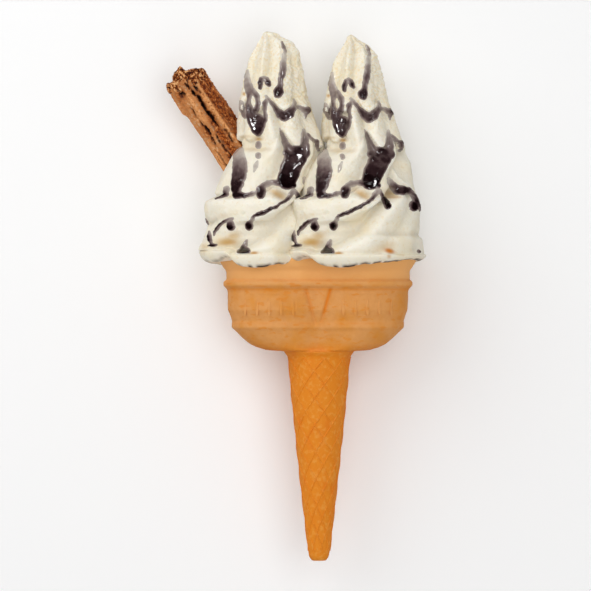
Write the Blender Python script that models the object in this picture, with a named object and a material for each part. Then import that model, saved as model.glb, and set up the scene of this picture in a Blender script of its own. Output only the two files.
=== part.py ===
"""Twin-cup wafer cone with two soft-serve swirls, sauce drizzle and a flaked chocolate bar.

The cone lies on its back with the shown side up. X runs across the two cups, Y runs along the cone
from the stem tip to the swirl tips, Z points up. Lengths in the lists below are in millimetres.
"""
import math

import bmesh
import bpy
import numpy as np
from mathutils import Matrix, Vector

MM = 0.001

# Overall placing
SWIRL_AXIS_X = {"left": -22.3, "right": 17.4}
FRONT_BULGE = {"left": 0.96, "right": 1.14}
BACK_BULGE = {"left": 1.02, "right": 1.02}
AXIS_HEIGHT = 29.8
CLEARANCE = 0.33
NEIGHBOUR_CLEARANCE = 0.7

# How the left swirl's upper part is drawn up: from this height, by this share
STRETCH_START = 25.0
STRETCH = {"left": 1.5 / 80.0, "right": 0.0}

# Side outlines of one swirl: (height above the cup rim, distance from the swirl's axis)
LEFT_OUTLINE = [
    (103.9, 3.0), (103.4, 3.8), (101.5, 4.3), (99.6, 5.2), (98.0, 5.8), (94.0, 8.7), (91.0, 10.6),
    (86.9, 11.6), (83.2, 12.8), (78.0, 13.6), (72.8, 15.0), (69.1, 15.3), (65.3, 14.9), (62.5, 15.5),
    (55.5, 15.7), (51.2, 14.3), (49.6, 16.2), (46.5, 18.6), (42.8, 20.4), (38.1, 22.7), (33.4, 24.8),
    (27.9, 26.6), (25.8, 31.1), (20.7, 31.3), (17.4, 30.5), (14.6, 29.4), (12.2, 30.1), (8.5, 31.3),
    (5.2, 32.7), (2.8, 33.6), (0.8, 34.0)]
RIGHT_OUTLINE = [
    (103.9, -1.0), (103.4, -0.4), (102.5, 0.8), (101.5, 1.9), (99.9, 4.0), (99.3, 6.2), (96.3, 8.9),
    (93.7, 11.1), (88.4, 12.5), (82.2, 14.4), (78.0, 15.5), (72.8, 16.4), (67.4, 18.7), (63.0, 19.7),
    (56.4, 22.1), (52.4, 23.5), (47.9, 24.0), (43.4, 26.3), (38.5, 26.9), (34.1, 27.5), (28.7, 29.3),
    (24.0, 30.7), (20.2, 31.0), (12.2, 30.7), (9.4, 29.9), (8.0, 32.0), (2.3, 32.4), (0.8, 32.4)]
# How much fuller the left swirl stands on its right side
RIGHT_SIDE_EXTRA = [
    (103.9, 2.4), (103.2, 4.0), (101.5, 3.0), (99.3, 5.0), (96.8, 4.0), (94.5, 3.4), (89.8, 3.2),
    (85.2, 3.0), (81.4, 2.4), (75.8, 2.1), (50.0, 2.2), (35.0, 1.0), (25.0, 0.0)]
AXIS_DRIFT = [
    (103.9, -2.0), (101.5, -1.1), (99.0, -0.2), (92.0, 0.8), (70.0, 1.3), (50.0, 2.6), (36.0, 1.2),
    (24.0, 0.0), (0.8, 0.0)]
TIP_HEIGHT = 103.9
TIP_RISE = 0.35
LEDGE_HEIGHT = 0.8
SKIRT_RADIUS = 33.6
SKIRT_DROP = 4.2
# Skirt's edge: (share of the way down, reach beyond the ring)
SKIRT_SECTION = [(0.0, 0.4), (0.12, 1.0), (0.5, 1.15), (0.82, 0.7), (0.96, -0.3), (1.0, -1.6)]
UNDERSIDE_HEIGHT = -2.0

# Flutes of each coil, top coil first: crest angles in degrees at the coil's foot, turn from foot to head,
# depth, and where in each gap the valley lies
SPIRE = {"foot": [29, 72, 117, 160, 205, 250, 295, 340], "turn": -9.0, "depth": 1.7, "valley": 0.55}
UPPER = {"foot": [21, 62, 101, 141, 182, 222, 262, 302, 341], "turn": 3.0, "depth": 1.9, "valley": 0.5}
MIDDLE = {"foot": [24, 66, 121, 168, 215, 260, 305, 345], "turn": -36.0, "depth": 2.8, "valley": 0.36}
RING_FOOT = [68, 132, 178, 236, 288, 336, 384]
RING_HEAD = [10, 34, 80, 130, 182, 238, 300]
RING_BEND = 1.9
RING_VALLEY = [0.36, 0.8, 0.7, 0.62, 0.6, 0.6, 0.6]
RING_DEPTH = 3.4
PETAL_ROUNDNESS = 0.75

# Coil edges, top first: height over the valleys, how far the petals hang below it, inset below the edge,
# height over which the inset runs out
EDGES = [(73.6, 7.6, 1.5, 7.0), (58.4, 8.0, 1.9, 8.0), (35.2, 4.4, 1.6, 5.0)]
EDGE_ROUNDING = 1.1

# Where the right swirl laps over the front of the left one: height at which it starts, how square the
# lapping quarter is, how far the left swirl is pressed back
LAP_TOP = 58.0
LAP_REACH = 22.0
LAP_SQUARENESS = 3.6
LAP_PRESS = 0.2

# Sauce strokes on one swirl: (across from the swirl's axis, height above the rim, half-width)
STROKES = [
    [(5.9, 98.0, 0.9), (6.1, 93.1, 0.9), (5.6, 87.4, 1.4), (4.9, 81.8, 1.3), (4.2, 78.0, 1.6),
     (3.6, 75.4, 2.3)],
    [(-4.7, 78.5, 0.8), (-4.3, 81.8, 0.8), (-2.8, 83.0, 0.8), (-0.7, 80.1, 0.8)],
    [(-10.8, 83.7, 1.0), (-10.8, 79.0, 1.4), (-10.1, 73.3, 1.2), (-9.6, 67.7, 1.9), (-7.0, 63.0, 3.8),
     (-6.1, 59.2, 2.8)],
    [(-8.9, 78.0, 0.9), (-6.3, 74.3, 1.2), (-6.0, 69.6, 1.2), (-6.6, 64.9, 1.9)],
    [(-2.3, 72.4, 1.0), (-2.8, 68.6, 0.9), (-2.8, 64.9, 0.9), (-4.2, 61.1, 1.6)],
    [(-1.2, 73.8, 0.7), (1.4, 70.5, 1.0), (3.8, 66.7, 1.6), (6.6, 64.6, 2.2), (9.4, 67.0, 1.6),
     (10.8, 70.5, 1.2), (13.6, 69.1, 0.9), (16.4, 67.2, 1.6)],
    [(4.7, 58.8, 0.7), (6.3, 55.5, 1.1), (8.0, 50.8, 1.9), (10.8, 47.5, 3.3)],
    [(15.2, 58.3, 1.2), (16.2, 53.6, 1.9), (15.5, 49.8, 2.6), (12.7, 46.1, 4.2), (9.9, 41.8, 3.8),
     (8.0, 37.6, 4.2), (7.5, 34.8, 3.3)],
    [(17.2, 56.4, 0.9), (19.7, 54.0, 0.9), (21.6, 52.4, 1.4)],
    [(4.2, 34.3, 1.2), (0.5, 34.5, 0.8), (-2.8, 33.4, 0.9), (-4.7, 30.1, 2.4)],
    [(-6.6, 29.6, 0.8), (-11.8, 28.2, 0.8), (-16.4, 28.4, 0.8), (-21.1, 28.2, 0.8)],
    [(-13.9, 48.4, 2.1), (-14.2, 43.7, 3.3), (-15.0, 38.5, 3.5), (-16.0, 33.8, 2.8),
     (-16.2, 30.5, 1.9)],
    [(10.8, 30.1, 0.8), (8.8, 26.8, 1.0), (2.7, 23.0, 0.9), (-1.4, 21.1, 0.9), (-6.6, 19.0, 0.9),
     (-8.9, 16.9, 0.9), (-10.0, 14.1, 2.0)],
    [(12.5, 28.7, 0.7), (14.1, 25.6, 1.3), (15.4, 23.5, 1.8)],
    [(16.4, 35.2, 0.9), (18.8, 32.4, 1.9), (22.1, 31.0, 2.3), (24.9, 30.5, 1.9), (27.7, 28.7, 1.4),
     (29.0, 24.9, 1.4)],
    [(27.5, 24.9, 1.6), (27.3, 23.0, 2.3)],
    [(-17.6, 17.2, 0.8), (-20.7, 16.4, 0.8), (-23.5, 14.1, 0.8), (-26.3, 11.8, 0.8), (-28.4, 9.9, 0.8),
     (-28.7, 7.5, 0.9), (-28.0, 5.2, 0.8), (-27.3, 3.9, 1.9)],
    [(-18.7, 16.0, 1.4), (-18.7, 13.6, 2.1)],
    [(-11.5, 6.1, 1.2), (-12.5, 3.8, 1.6), (-12.9, 1.9, 2.5)],
    [(-5.8, 52.2, 1.4), (-5.8, 51.2, 1.6)],
]
STROKE_HEIGHT = 1.5
STROKE_MARGIN = 0.2

# Mesh fineness
SWIRL_COLUMNS = 200
SWIRL_ROW = 0.62
SWIRL_TRIANGLES = 3800
NEIGHBOUR_TRIANGLES = 2800

# Wafer: half-width, half-depth and waist depth at heights from the cup rim down to the cup floor
CUP_CENTRE_X = 19.9
CUP_SECTIONS = [
    (0.0, 46.5, 26.6, 2.2), (-2.8, 46.1, 26.2, 2.3), (-5.2, 44.6, 24.8, 2.5), (-7.1, 43.1, 23.2, 2.8),
    (-11.3, 43.0, 23.1, 3.0), (-12.2, 44.4, 24.6, 2.8), (-14.1, 44.4, 24.5, 2.8), (-15.5, 42.8, 22.9, 3.0),
    (-17.0, 42.3, 22.4, 3.0), (-25.4, 42.2, 22.3, 3.0), (-28.2, 41.0, 21.1, 2.8), (-30.6, 40.2, 20.4, 2.6),
    (-32.4, 40.4, 20.6, 2.5), (-33.8, 40.4, 20.6, 2.4), (-34.8, 39.2, 19.6, 2.2), (-36.6, 37.4, 18.9, 2.0),
    (-38.5, 35.5, 18.1, 1.8), (-41.4, 32.0, 17.0, 1.4), (-43.2, 28.4, 16.2, 1.0), (-44.2, 24.2, 15.6, 0.6)]
WAIST_WIDTH = 3.2
FRONT_SAG = 0.08
# Stem: radius at heights below the rim
STEM_SECTIONS = [
    (-44.9, 15.2), (-48.0, 14.6), (-60.0, 13.45), (-80.0, 11.55), (-103.9, 9.1), (-125.0, 6.7),
    (-138.0, 5.05), (-141.0, 4.4), (-142.5, 3.4), (-143.2, 2.0)]
WAFER_COLUMNS = 40
# Bore of each cup: radius at heights below the rim
BORE_CENTRE_X = 20.1
BORE_SECTIONS = [
    (1.5, 24.6), (-2.8, 23.6), (-7.2, 19.3), (-26.0, 19.0), (-33.5, 16.9), (-38.6, 12.4), (-41.0, 6.0)]
BORE_COLUMNS = 24

# Flaked chocolate bar
BAR_TOP = (-64.6, 86.95)
BAR_LENGTH = 79.0
BAR_DIRECTION = (0.545, -0.838)
BAR_DEPTH_AT_TOP = -5.5
BAR_DEPTH_SLOPE = -0.07
BAR_WIDTH = 17.2
BAR_THICKNESS = 12.4
BAR_ROLL = math.radians(35.0)
BAR_SQUARENESS = 5.0
BAR_END_TAPER = 0.93
BAR_TOP_MIDDLE = 0.2
BAR_LOWER_RISE = 0.8
BAR_COLUMNS = 30
BAR_ROWS = 16
# Broken upper end: (place across the bar, how far down it starts)
BAR_TOP_EDGE = [
    (-10.5, 3.5), (-5.6, 2.6), (-4.6, 0.4), (0.9, -1.6), (1.9, 1.7), (3.1, 2.0), (8.9, 4.2), (10.7, 7.0)]
# Lengthwise folds: direction, depth, width in radians
BAR_FOLDS = [
    (1.67, 2.0, 0.13), (2.46, 1.4, 0.12), (0.45, 0.9, 0.12), (3.6, 1.2, 0.2), (4.4, 1.8, 0.16),
    (5.1, 1.2, 0.18), (5.8, 1.4, 0.16)]

# Materials: base colour (linear), roughness
WAFER_COLOR = (0.66, 0.29, 0.085)
CREAM_COLOR = (0.89, 0.83, 0.68)
CHOCOLATE_COLOR = (0.27, 0.092, 0.028)


def profile(stations, height):
    """Value at a height, read along a falling list of (height, value) stations."""
    heights = np.array([station[0] for station in stations])
    values = np.array([station[1] for station in stations])
    return np.interp(-height, -heights, values)


def smooth_step(value):
    """Ease from 0 to 1 over the unit interval."""
    value = np.clip(value, 0.0, 1.0)
    return value * value * (3.0 - 2.0 * value)


def crest_share(angle, lines, valleys):
    """1 on a crest line, 0 in the valley between two lines; lines and angle in degrees."""
    first = lines[0]
    turned = np.mod(angle - first, 360.0) + first
    share = np.zeros_like(turned)
    count = len(lines)
    for index in range(count):
        low = lines[index]
        high = lines[index + 1] if index + 1 < count else first + 360.0
        place = (turned - low) / np.maximum(high - low, 1e-6)
        valley = valleys[index]
        inside = (place >= 0.0) & (place < 1.0)
        down = 0.5 + 0.5 * np.cos(math.pi * np.clip(place / valley, 0.0, 1.0))
        up = 0.5 + 0.5 * np.cos(math.pi * np.clip((1.0 - place) / (1.0 - valley), 0.0, 1.0))
        share = np.where(inside, np.where(place < valley, down, up), share)
    return share ** PETAL_ROUNDNESS


def coil_share(coil, angle, place):
    """Crest share in one coil; place runs from 0 at its foot to 1 at its head."""
    lines = [crest + coil["turn"] * place for crest in coil["foot"]]
    return crest_share(angle, lines, [coil["valley"]] * len(lines))


def ring_share(angle, place):
    """Crest share in the bottom ring, whose crests sweep round as they climb."""
    bent = np.clip(place, 0.0, 1.0)
    eased = 1.0 - (1.0 - bent) ** RING_BEND
    lines = [foot + (head - foot) * eased for foot, head in zip(RING_FOOT, RING_HEAD)]
    return crest_share(angle, lines, RING_VALLEY)


def edge_height(index, angle):
    """Height of a coil's lower edge: petals hang at the crests, arches rise over the valleys."""
    arch, hang, _, _ = EDGES[index]
    share = coil_share((SPIRE, UPPER, MIDDLE)[index], angle, np.zeros_like(angle))
    if index == 1:
        front_right = smooth_step((np.cos(np.radians(angle - 40.0)) - 0.1) / 0.5)
        hang = 2.6 + (hang - 2.6) * front_right
        arch = arch - 2.2 * (1.0 - front_right)
    return arch - hang * share


def swirl_radius(side, angle, height):
    """Distance of the swirl's surface from its drifting axis; angle in degrees, 90 towards the viewer."""
    drift = profile(AXIS_DRIFT, height)
    left = profile(LEFT_OUTLINE, height) + drift
    right = profile(RIGHT_OUTLINE, height) - drift
    if side == "left":
        right = right + profile(RIGHT_SIDE_EXTRA, height)
    radius = 0.5 * (left + right) + 0.5 * (right - left) * np.cos(np.radians(angle))
    edges = [edge_height(index, angle) for index in range(3)]
    heads = [TIP_HEIGHT, edges[0], edges[1]]
    blend = [smooth_step((height - edge) / 1.4 + 0.5) for edge in edges]
    for index, coil in enumerate((SPIRE, UPPER, MIDDLE)):
        place = (height - edges[index]) / np.maximum(heads[index] - edges[index], 1e-6)
        share = coil_share(coil, angle, place)
        depth = coil["depth"] * np.minimum(1.0, radius / 9.0) * (1.0 - share)
        above = blend[index]
        below_head = 1.0 if index == 0 else 1.0 - blend[index - 1]
        radius = radius - depth * above * below_head
    ring = ring_share(angle, height / edges[2])
    radius = radius - RING_DEPTH * (1.0 - ring) * (1.0 - blend[2]) * smooth_step(height / 5.0 + 0.35)
    for index, (_, _, inset, reach) in enumerate(EDGES):
        below = edges[index] - height
        cut = smooth_step((below + EDGE_ROUNDING) / (2.0 * EDGE_ROUNDING))
        fade = np.clip(1.0 - (below - EDGE_ROUNDING) / reach, 0.0, 1.0) ** 1.5
        radius = radius - inset * cut * fade
    return np.maximum(radius, 0.6)


def sauce_height(across, height):
    """Thickness of the sauce at points seen from the front: the rounded top of the nearest stroke."""
    thickness = np.zeros_like(across)
    for stroke in STROKES:
        for start, end in zip(stroke, stroke[1:]):
            step = (end[0] - start[0], end[1] - start[1])
            length = step[0] ** 2 + step[1] ** 2
            run = (across - start[0]) * step[0] + (height - start[1]) * step[1]
            share = np.clip(run / length, 0.0, 1.0)
            gap = np.hypot(across - start[0] - share * step[0], height - start[1] - share * step[1])
            width = start[2] + (end[2] - start[2]) * share + STROKE_MARGIN
            rise = np.minimum(STROKE_HEIGHT, 0.45 + 0.5 * width)
            cap = rise * np.sqrt(np.clip(1.0 - (gap / width) ** 2, 0.0, 1.0))
            thickness = np.maximum(thickness, cap)
    return thickness


def lap_share(height):
    """How strongly the right swirl laps over the left one at a height."""
    return smooth_step((LAP_TOP - height) / LAP_REACH)


def squared(side, angle, height):
    """How much further out the right swirl's front left quarter stands, to lap over the left swirl."""
    if side == "left":
        return np.ones_like(angle)
    around = np.radians(angle)
    corner = np.abs(np.cos(around)) ** LAP_SQUARENESS + np.abs(np.sin(around)) ** LAP_SQUARENESS
    quarter = smooth_step((angle - 90.0) / 15.0) * smooth_step((180.0 - angle) / 4.0 + 0.4)
    return 1.0 + (corner ** (-1.0 / LAP_SQUARENESS) - 1.0) * quarter * lap_share(height)


def bulge_of(side, angle, across, height):
    """Depth of the section against its width: shown side, back, and where the left swirl is pressed."""
    front = np.full_like(angle, FRONT_BULGE[side])
    if side == "left":
        front = front * (1.0 - LAP_PRESS * smooth_step((across - 1.0) / 12.0) * lap_share(height))
    return np.where(np.sin(np.radians(angle)) > 0.0, front, BACK_BULGE[side])


def coated_radius(side, angle, height):
    """Distance of the surface from the drifting axis with the sauce on it."""
    radius = swirl_radius(side, angle, height)
    around = np.radians(angle)
    across = profile(AXIS_DRIFT, height) + radius * squared(side, angle, height) * np.cos(around)
    shown = smooth_step(np.sin(around) / 0.25)
    return radius + sauce_height(across, height) * shown


def ring_points(side, angle, radius, drift, height, level):
    """One ring of points of a swirl; the height shapes it and the level places it."""
    around = np.radians(angle)
    out = radius * squared(side, angle, height)
    across = drift + out * np.cos(around)
    depth = out * np.sin(around) * bulge_of(side, angle, across, height)
    return list(zip(SWIRL_AXIS_X[side] + across, level, depth))


def skirt_foot(angle):
    """Height of the wavy lower edge of the cream that laps over the cup rim."""
    around = np.radians(angle)
    wave = 0.55 * np.sin(5.0 * around + 0.7) + 0.45 * np.sin(9.0 * around + 2.0)
    wave = wave + 0.3 * np.sin(17.0 * around)
    gap = np.exp(-((angle - 136.0) / 9.0) ** 2)
    return -SKIRT_DROP + wave + gap * (SKIRT_DROP - 0.9)


def loft(name, rings, first_pole, last_pole):
    """Closed mesh through rings of points, closed by a pole at each end."""
    points = [first_pole]
    for ring in rings:
        points.extend(ring)
    points.append(last_pole)
    count = len(rings[0])
    faces = []
    for index in range(count):
        following = (index + 1) % count
        faces.append((0, 1 + following, 1 + index))
    for row in range(len(rings) - 1):
        start = 1 + row * count
        for index in range(count):
            following = (index + 1) % count
            below = start + count
            faces.append((start + index, start + following, below + following, below + index))
    start = 1 + (len(rings) - 1) * count
    for index in range(count):
        following = (index + 1) % count
        faces.append((start + index, start + following, len(points) - 1))
    mesh = bpy.data.meshes.new(name)
    mesh.from_pydata([Vector(point) * MM for point in points], [], faces)
    mesh.update()
    item = bpy.data.objects.new(name, mesh)
    outward(item)
    return item


def outward(item):
    """Turn every face of a closed mesh outwards."""
    work = bmesh.new()
    work.from_mesh(item.data)
    bmesh.ops.recalc_face_normals(work, faces=work.faces)
    if work.calc_volume(signed=True) < 0.0:
        bmesh.ops.reverse_faces(work, faces=work.faces)
    work.to_mesh(item.data)
    work.free()


def apply_modifiers(item):
    """Turn an object's modifiers into plain mesh."""
    graph = bpy.context.evaluated_depsgraph_get()
    graph.update()
    finished = bpy.data.meshes.new_from_object(item.evaluated_get(graph))
    item.modifiers.clear()
    item.data = finished


def weld(item, distance):
    """Merge vertices that lie together."""
    work = bmesh.new()
    work.from_mesh(item.data)
    bmesh.ops.remove_doubles(work, verts=work.verts, dist=distance)
    bmesh.ops.dissolve_degenerate(work, dist=distance * 0.5, edges=work.edges)
    work.to_mesh(item.data)
    work.free()


def keep_largest(item):
    """Drop crumbs that a cut has parted from the main body."""
    work = bmesh.new()
    work.from_mesh(item.data)
    unseen = set(work.verts)
    groups = []
    while unseen:
        stack = [unseen.pop()]
        group = list(stack)
        while stack:
            vertex = stack.pop()
            for edge in vertex.link_edges:
                other = edge.other_vert(vertex)
                if other in unseen:
                    unseen.remove(other)
                    stack.append(other)
                    group.append(other)
        groups.append(group)
    groups.sort(key=len)
    for group in groups[:-1]:
        bmesh.ops.delete(work, geom=group, context="VERTS")
    work.to_mesh(item.data)
    work.free()


def new_collection(name, hidden):
    """Collection under the scene; a hidden one holds cutters."""
    collection = bpy.data.collections.new(name)
    bpy.context.scene.collection.children.link(collection)
    collection.hide_render = hidden
    return collection


def add_cutter(cutters, item):
    """Put an object with the cutters."""
    cutters.objects.link(item)
    item.display_type = "WIRE"
    return item


def combine(item, operand, operation, solver="MANIFOLD"):
    """Boolean of one object with another, applied."""
    modifier = item.modifiers.new(operation.title(), "BOOLEAN")
    modifier.operation = operation
    modifier.solver = solver
    modifier.object = operand
    apply_modifiers(item)


def remove(item):
    """Delete an object."""
    bpy.data.objects.remove(item, do_unlink=True)


def swirl_rings(side, grow):
    """Rings of points of one swirl from its tip down to its underside."""
    angles = np.arange(SWIRL_COLUMNS) * 360.0 / SWIRL_COLUMNS
    rings = []
    rows = int((TIP_HEIGHT - LEDGE_HEIGHT) / SWIRL_ROW)
    for row in range(rows + 1):
        height = TIP_HEIGHT - (TIP_HEIGHT - LEDGE_HEIGHT) * row / rows
        radius = coated_radius(side, angles, height) + grow
        level = np.full_like(angles, height + STRETCH[side] * max(0.0, height - STRETCH_START))
        drift = float(profile(AXIS_DRIFT, height))
        rings.append(ring_points(side, angles, radius, drift, height, level))
    foot = skirt_foot(angles) - grow
    ledge = LEDGE_HEIGHT - 0.15
    for share, reach in SKIRT_SECTION:
        radius = np.full_like(angles, SKIRT_RADIUS - 0.9 + reach + grow)
        rings.append(ring_points(side, angles, radius, 0.0, ledge, ledge + (foot - ledge) * share))
    underside = UNDERSIDE_HEIGHT - grow
    for share in (0.8, 0.45):
        radius = np.full_like(angles, SKIRT_RADIUS * share)
        level = underside + (foot - underside) * (share - 0.45) * 1.5
        rings.append(ring_points(side, angles, radius, 0.0, ledge, level))
    return rings


def make_body(side, grow, triangles):
    """One swirl above its cup, thinned to a set number of triangles."""
    rings = swirl_rings(side, grow)
    axis = SWIRL_AXIS_X[side]
    peak = TIP_HEIGHT + STRETCH[side] * (TIP_HEIGHT - STRETCH_START) + TIP_RISE + grow
    top = (axis + AXIS_DRIFT[0][1], peak, 0.0)
    body = loft("body_" + side, rings, top, (axis, UNDERSIDE_HEIGHT - grow, 0.0))
    count = sum(len(face.vertices) - 2 for face in body.data.polygons)
    thin = body.modifiers.new("Thin", "DECIMATE")
    thin.ratio = triangles / count
    return body


def half_section(half_width, half_depth, waist, centre):
    """Outline of a twin cup: two round ends joined by nearly flat faces with a waist between them."""
    quarter = WAFER_COLUMNS // 4
    outline = []
    end = quarter // 2
    for index in range(end):
        turn = 0.5 * math.pi * index / end
        outline.append((centre + (half_width - centre) * math.cos(turn), half_depth * math.sin(turn)))
    for index in range(quarter - end):
        share = index / (quarter - end)
        x = centre * (1.0 - share) ** 1.25
        sag = FRONT_SAG * half_depth * (1.0 - x / centre) ** 2 if centre > 0.0 else 0.0
        outline.append((x, half_depth - sag - waist * math.exp(-(x / WAIST_WIDTH) ** 2)))
    middle = half_depth * (1.0 - FRONT_SAG) - waist
    points = list(outline)
    points.append((0.0, middle))
    points.extend([(-x, z) for x, z in reversed(outline[1:])])
    points.extend([(-x, -z) for x, z in outline])
    points.append((0.0, -middle))
    points.extend([(x, -z) for x, z in reversed(outline[1:])])
    return points


def wafer_outside(grow):
    """Outside of the wafer as a solid: twin cup and stem."""
    rings = []
    for height, width, depth, waist in CUP_SECTIONS:
        centre = min(CUP_CENTRE_X, width - depth)
        level = height + (grow if height == 0.0 else 0.0)
        section = half_section(width + grow, depth + grow, waist, centre)
        rings.append([(x, level, z) for x, z in section])
    count = len(rings[0])
    shape = half_section(CUP_SECTIONS[-1][1], CUP_SECTIONS[-1][2], 0.0, 8.6)
    directions = [math.atan2(z, x) for x, z in shape]
    for height, radius in STEM_SECTIONS:
        rings.append([((radius + grow) * math.cos(turn), height, (radius + grow) * math.sin(turn))
                      for turn in directions[:count]])
    return loft("wafer_cone", rings, (0.0, grow, 0.0), (0.0, STEM_SECTIONS[-1][0] - 0.25 - grow, 0.0))


def bore_solid(side, shrink):
    """Round inside of one cup; shrunk, it is the cream that fills the cup."""
    centre = BORE_CENTRE_X if side == "right" else -BORE_CENTRE_X
    rings = []
    for height, radius in BORE_SECTIONS:
        level = height + (shrink if height < -36.0 else 0.0)
        rings.append([(centre + (radius - shrink) * math.cos(2.0 * math.pi * index / BORE_COLUMNS), level,
                       (radius - shrink) * math.sin(2.0 * math.pi * index / BORE_COLUMNS))
                      for index in range(BORE_COLUMNS)])
    top = (centre, BORE_SECTIONS[0][0], 0.0)
    return loft("bore_" + side, rings, top, (centre, BORE_SECTIONS[-1][0] - 0.1 + shrink, 0.0))


def bar_frame():
    """Origin of the bar's top end and its three directions."""
    along = Vector((BAR_DIRECTION[0], BAR_DIRECTION[1], BAR_DEPTH_SLOPE)).normalized()
    across = Vector((0.0, 0.0, 1.0)).cross(along).normalized()
    outward_axis = along.cross(across).normalized()
    return Vector((BAR_TOP[0], BAR_TOP[1], BAR_DEPTH_AT_TOP)), along, across, outward_axis


def bar_radius(turn, place):
    """Half-size of the bar in a direction across it: a rounded block with folds running lengthwise."""
    rolled = turn - BAR_ROLL
    flat = abs(math.cos(rolled) / (BAR_WIDTH / 2.0)) ** BAR_SQUARENESS
    high = abs(math.sin(rolled) / (BAR_THICKNESS / 2.0)) ** BAR_SQUARENESS
    base = (flat + high) ** (-1.0 / BAR_SQUARENESS)
    sway = 0.12 * (0.25 * math.sin(9.0 * place) + 0.18 * math.sin(23.0 * place + 1.0))
    folds = 0.0
    for fold_turn, depth, width in BAR_FOLDS:
        gap = math.remainder(turn - fold_turn - sway, 2.0 * math.pi)
        swell = 0.65 + 0.35 * math.sin(7.0 * place + 3.0 * fold_turn)
        folds += depth * math.exp(-(gap / width) ** 2) * swell
    return base - folds + 0.25 * math.sin(31.0 * place + 5.0 * turn)


def make_bar(grow):
    """The flaked bar: lengthwise folds, broken upper end."""
    origin, along, across, outward_axis = bar_frame()
    places = [station[0] for station in BAR_TOP_EDGE]
    starts = [station[1] for station in BAR_TOP_EDGE]
    rings = []
    for row in range(BAR_ROWS + 1):
        share = row / BAR_ROWS
        taper = BAR_END_TAPER if row in (0, BAR_ROWS) else 1.0
        ring = []
        for index in range(BAR_COLUMNS):
            turn = 2.0 * math.pi * index / BAR_COLUMNS
            size = (bar_radius(turn, share) + grow) * taper
            start = float(np.interp(size * math.cos(turn), places, starts)) - grow
            reach = start + (BAR_LENGTH + grow - start) * share
            ring.append(origin + along * reach + across * (size * math.cos(turn))
                        + outward_axis * (size * math.sin(turn)))
        rings.append(ring)
    upper_end = origin + along * (BAR_TOP_MIDDLE - grow)
    lower_end = origin + along * (BAR_LENGTH + BAR_LOWER_RISE + grow)
    return loft("chocolate_bar", rings, upper_end, lower_end)


def make_material(name, color, roughness):
    """Plain material for one part."""
    material = bpy.data.materials.new(name)
    material.use_nodes = True
    shader = material.node_tree.nodes["Principled BSDF"]
    shader.inputs["Base Color"].default_value = (*color, 1.0)
    shader.inputs["Roughness"].default_value = roughness
    shader.inputs["Metallic"].default_value = 0.0
    return material


def add_swirl(side, cutters, parts, extra):
    """One swirl with its sauce and the cream in its cup, clear of everything in extra."""
    body = make_body(side, 0.0, SWIRL_TRIANGLES)
    parts.objects.link(body)
    apply_modifiers(body)
    shell = wafer_outside(CLEARANCE)
    add_cutter(cutters, shell)
    combine(body, shell, "DIFFERENCE")
    plug = bore_solid(side, CLEARANCE)
    add_cutter(cutters, plug)
    combine(body, plug, "UNION")
    remove(shell)
    remove(plug)
    for cutter in extra:
        combine(body, cutter, "DIFFERENCE")
    return body


def main():
    for item in list(bpy.data.objects):
        bpy.data.objects.remove(item, do_unlink=True)
    parts = new_collection("ice_cream_cone", False)
    cutters = new_collection("cutters", True)

    wafer = wafer_outside(0.0)
    parts.objects.link(wafer)
    for side in ("left", "right"):
        bore = bore_solid(side, 0.0)
        add_cutter(cutters, bore)
        combine(wafer, bore, "DIFFERENCE")
        remove(bore)

    bar = make_bar(0.0)
    parts.objects.link(bar)

    bar_cutter = make_bar(CLEARANCE)
    add_cutter(cutters, bar_cutter)
    neighbour = make_body("right", NEIGHBOUR_CLEARANCE, NEIGHBOUR_TRIANGLES)
    add_cutter(cutters, neighbour)
    apply_modifiers(neighbour)
    neighbour_plug = bore_solid("right", 0.0)
    add_cutter(cutters, neighbour_plug)
    grown = [neighbour, neighbour_plug, bar_cutter]

    right = add_swirl("right", cutters, parts, [])
    left = add_swirl("left", cutters, parts, grown)
    right.name = "swirl_right"
    left.name = "swirl_left"

    floor = half_space()
    add_cutter(cutters, floor)
    for item in (left, right):
        combine(item, floor, "DIFFERENCE")
        weld(item, 0.000001)
        keep_largest(item)

    wafer.data.materials.clear()
    looks = {
        "swirl_left": make_material("cream_with_sauce", CREAM_COLOR, 0.45),
        "swirl_right": None,
        "wafer_cone": make_material("baked_wafer", WAFER_COLOR, 0.75),
        "chocolate_bar": make_material("flaked_chocolate", CHOCOLATE_COLOR, 0.7),
    }
    looks["swirl_right"] = looks["swirl_left"]
    settle([wafer, left, right, bar])
    for item in (wafer, left, right, bar):
        item.data.materials.clear()
        item.data.materials.append(looks[item.name])
    for item in list(cutters.objects):
        remove(item)


def half_space():
    """Large block whose top face is the floor plane, for the flat the swirls rest on."""
    bpy.ops.mesh.primitive_cube_add(size=1.0)
    block = bpy.context.active_object
    block.name = "floor_cutter"
    for collection in list(block.users_collection):
        collection.objects.unlink(block)
    block.data.transform(Matrix.Diagonal((0.4, 0.4, 0.1, 1.0)))
    block.data.transform(Matrix.Translation((0.0, 0.0, -0.05 - AXIS_HEIGHT * MM)))
    return block


def settle(items):
    """Move all parts so that the origin is the middle of the bottom of the whole cone's box."""
    points = np.array([vertex.co[:] for item in items for vertex in item.data.vertices])
    low = points.min(axis=0)
    high = points.max(axis=0)
    shift = Vector((-(low[0] + high[0]) / 2.0, -(low[1] + high[1]) / 2.0, -low[2]))
    for item in items:
        item.data.transform(Matrix.Translation(shift))
        item.data.update()


main()
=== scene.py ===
"""Looks of a twin-cup wafer cone with two soft-serve swirls, dark sauce and a flaked chocolate bar.

Shapes are worked out in millimetres in a standing frame: X across the cups with the wafer's axis at 0,
H up the cone with the cup rim at 0, Z towards the viewer with the axis at 0.
"""

import math

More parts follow.
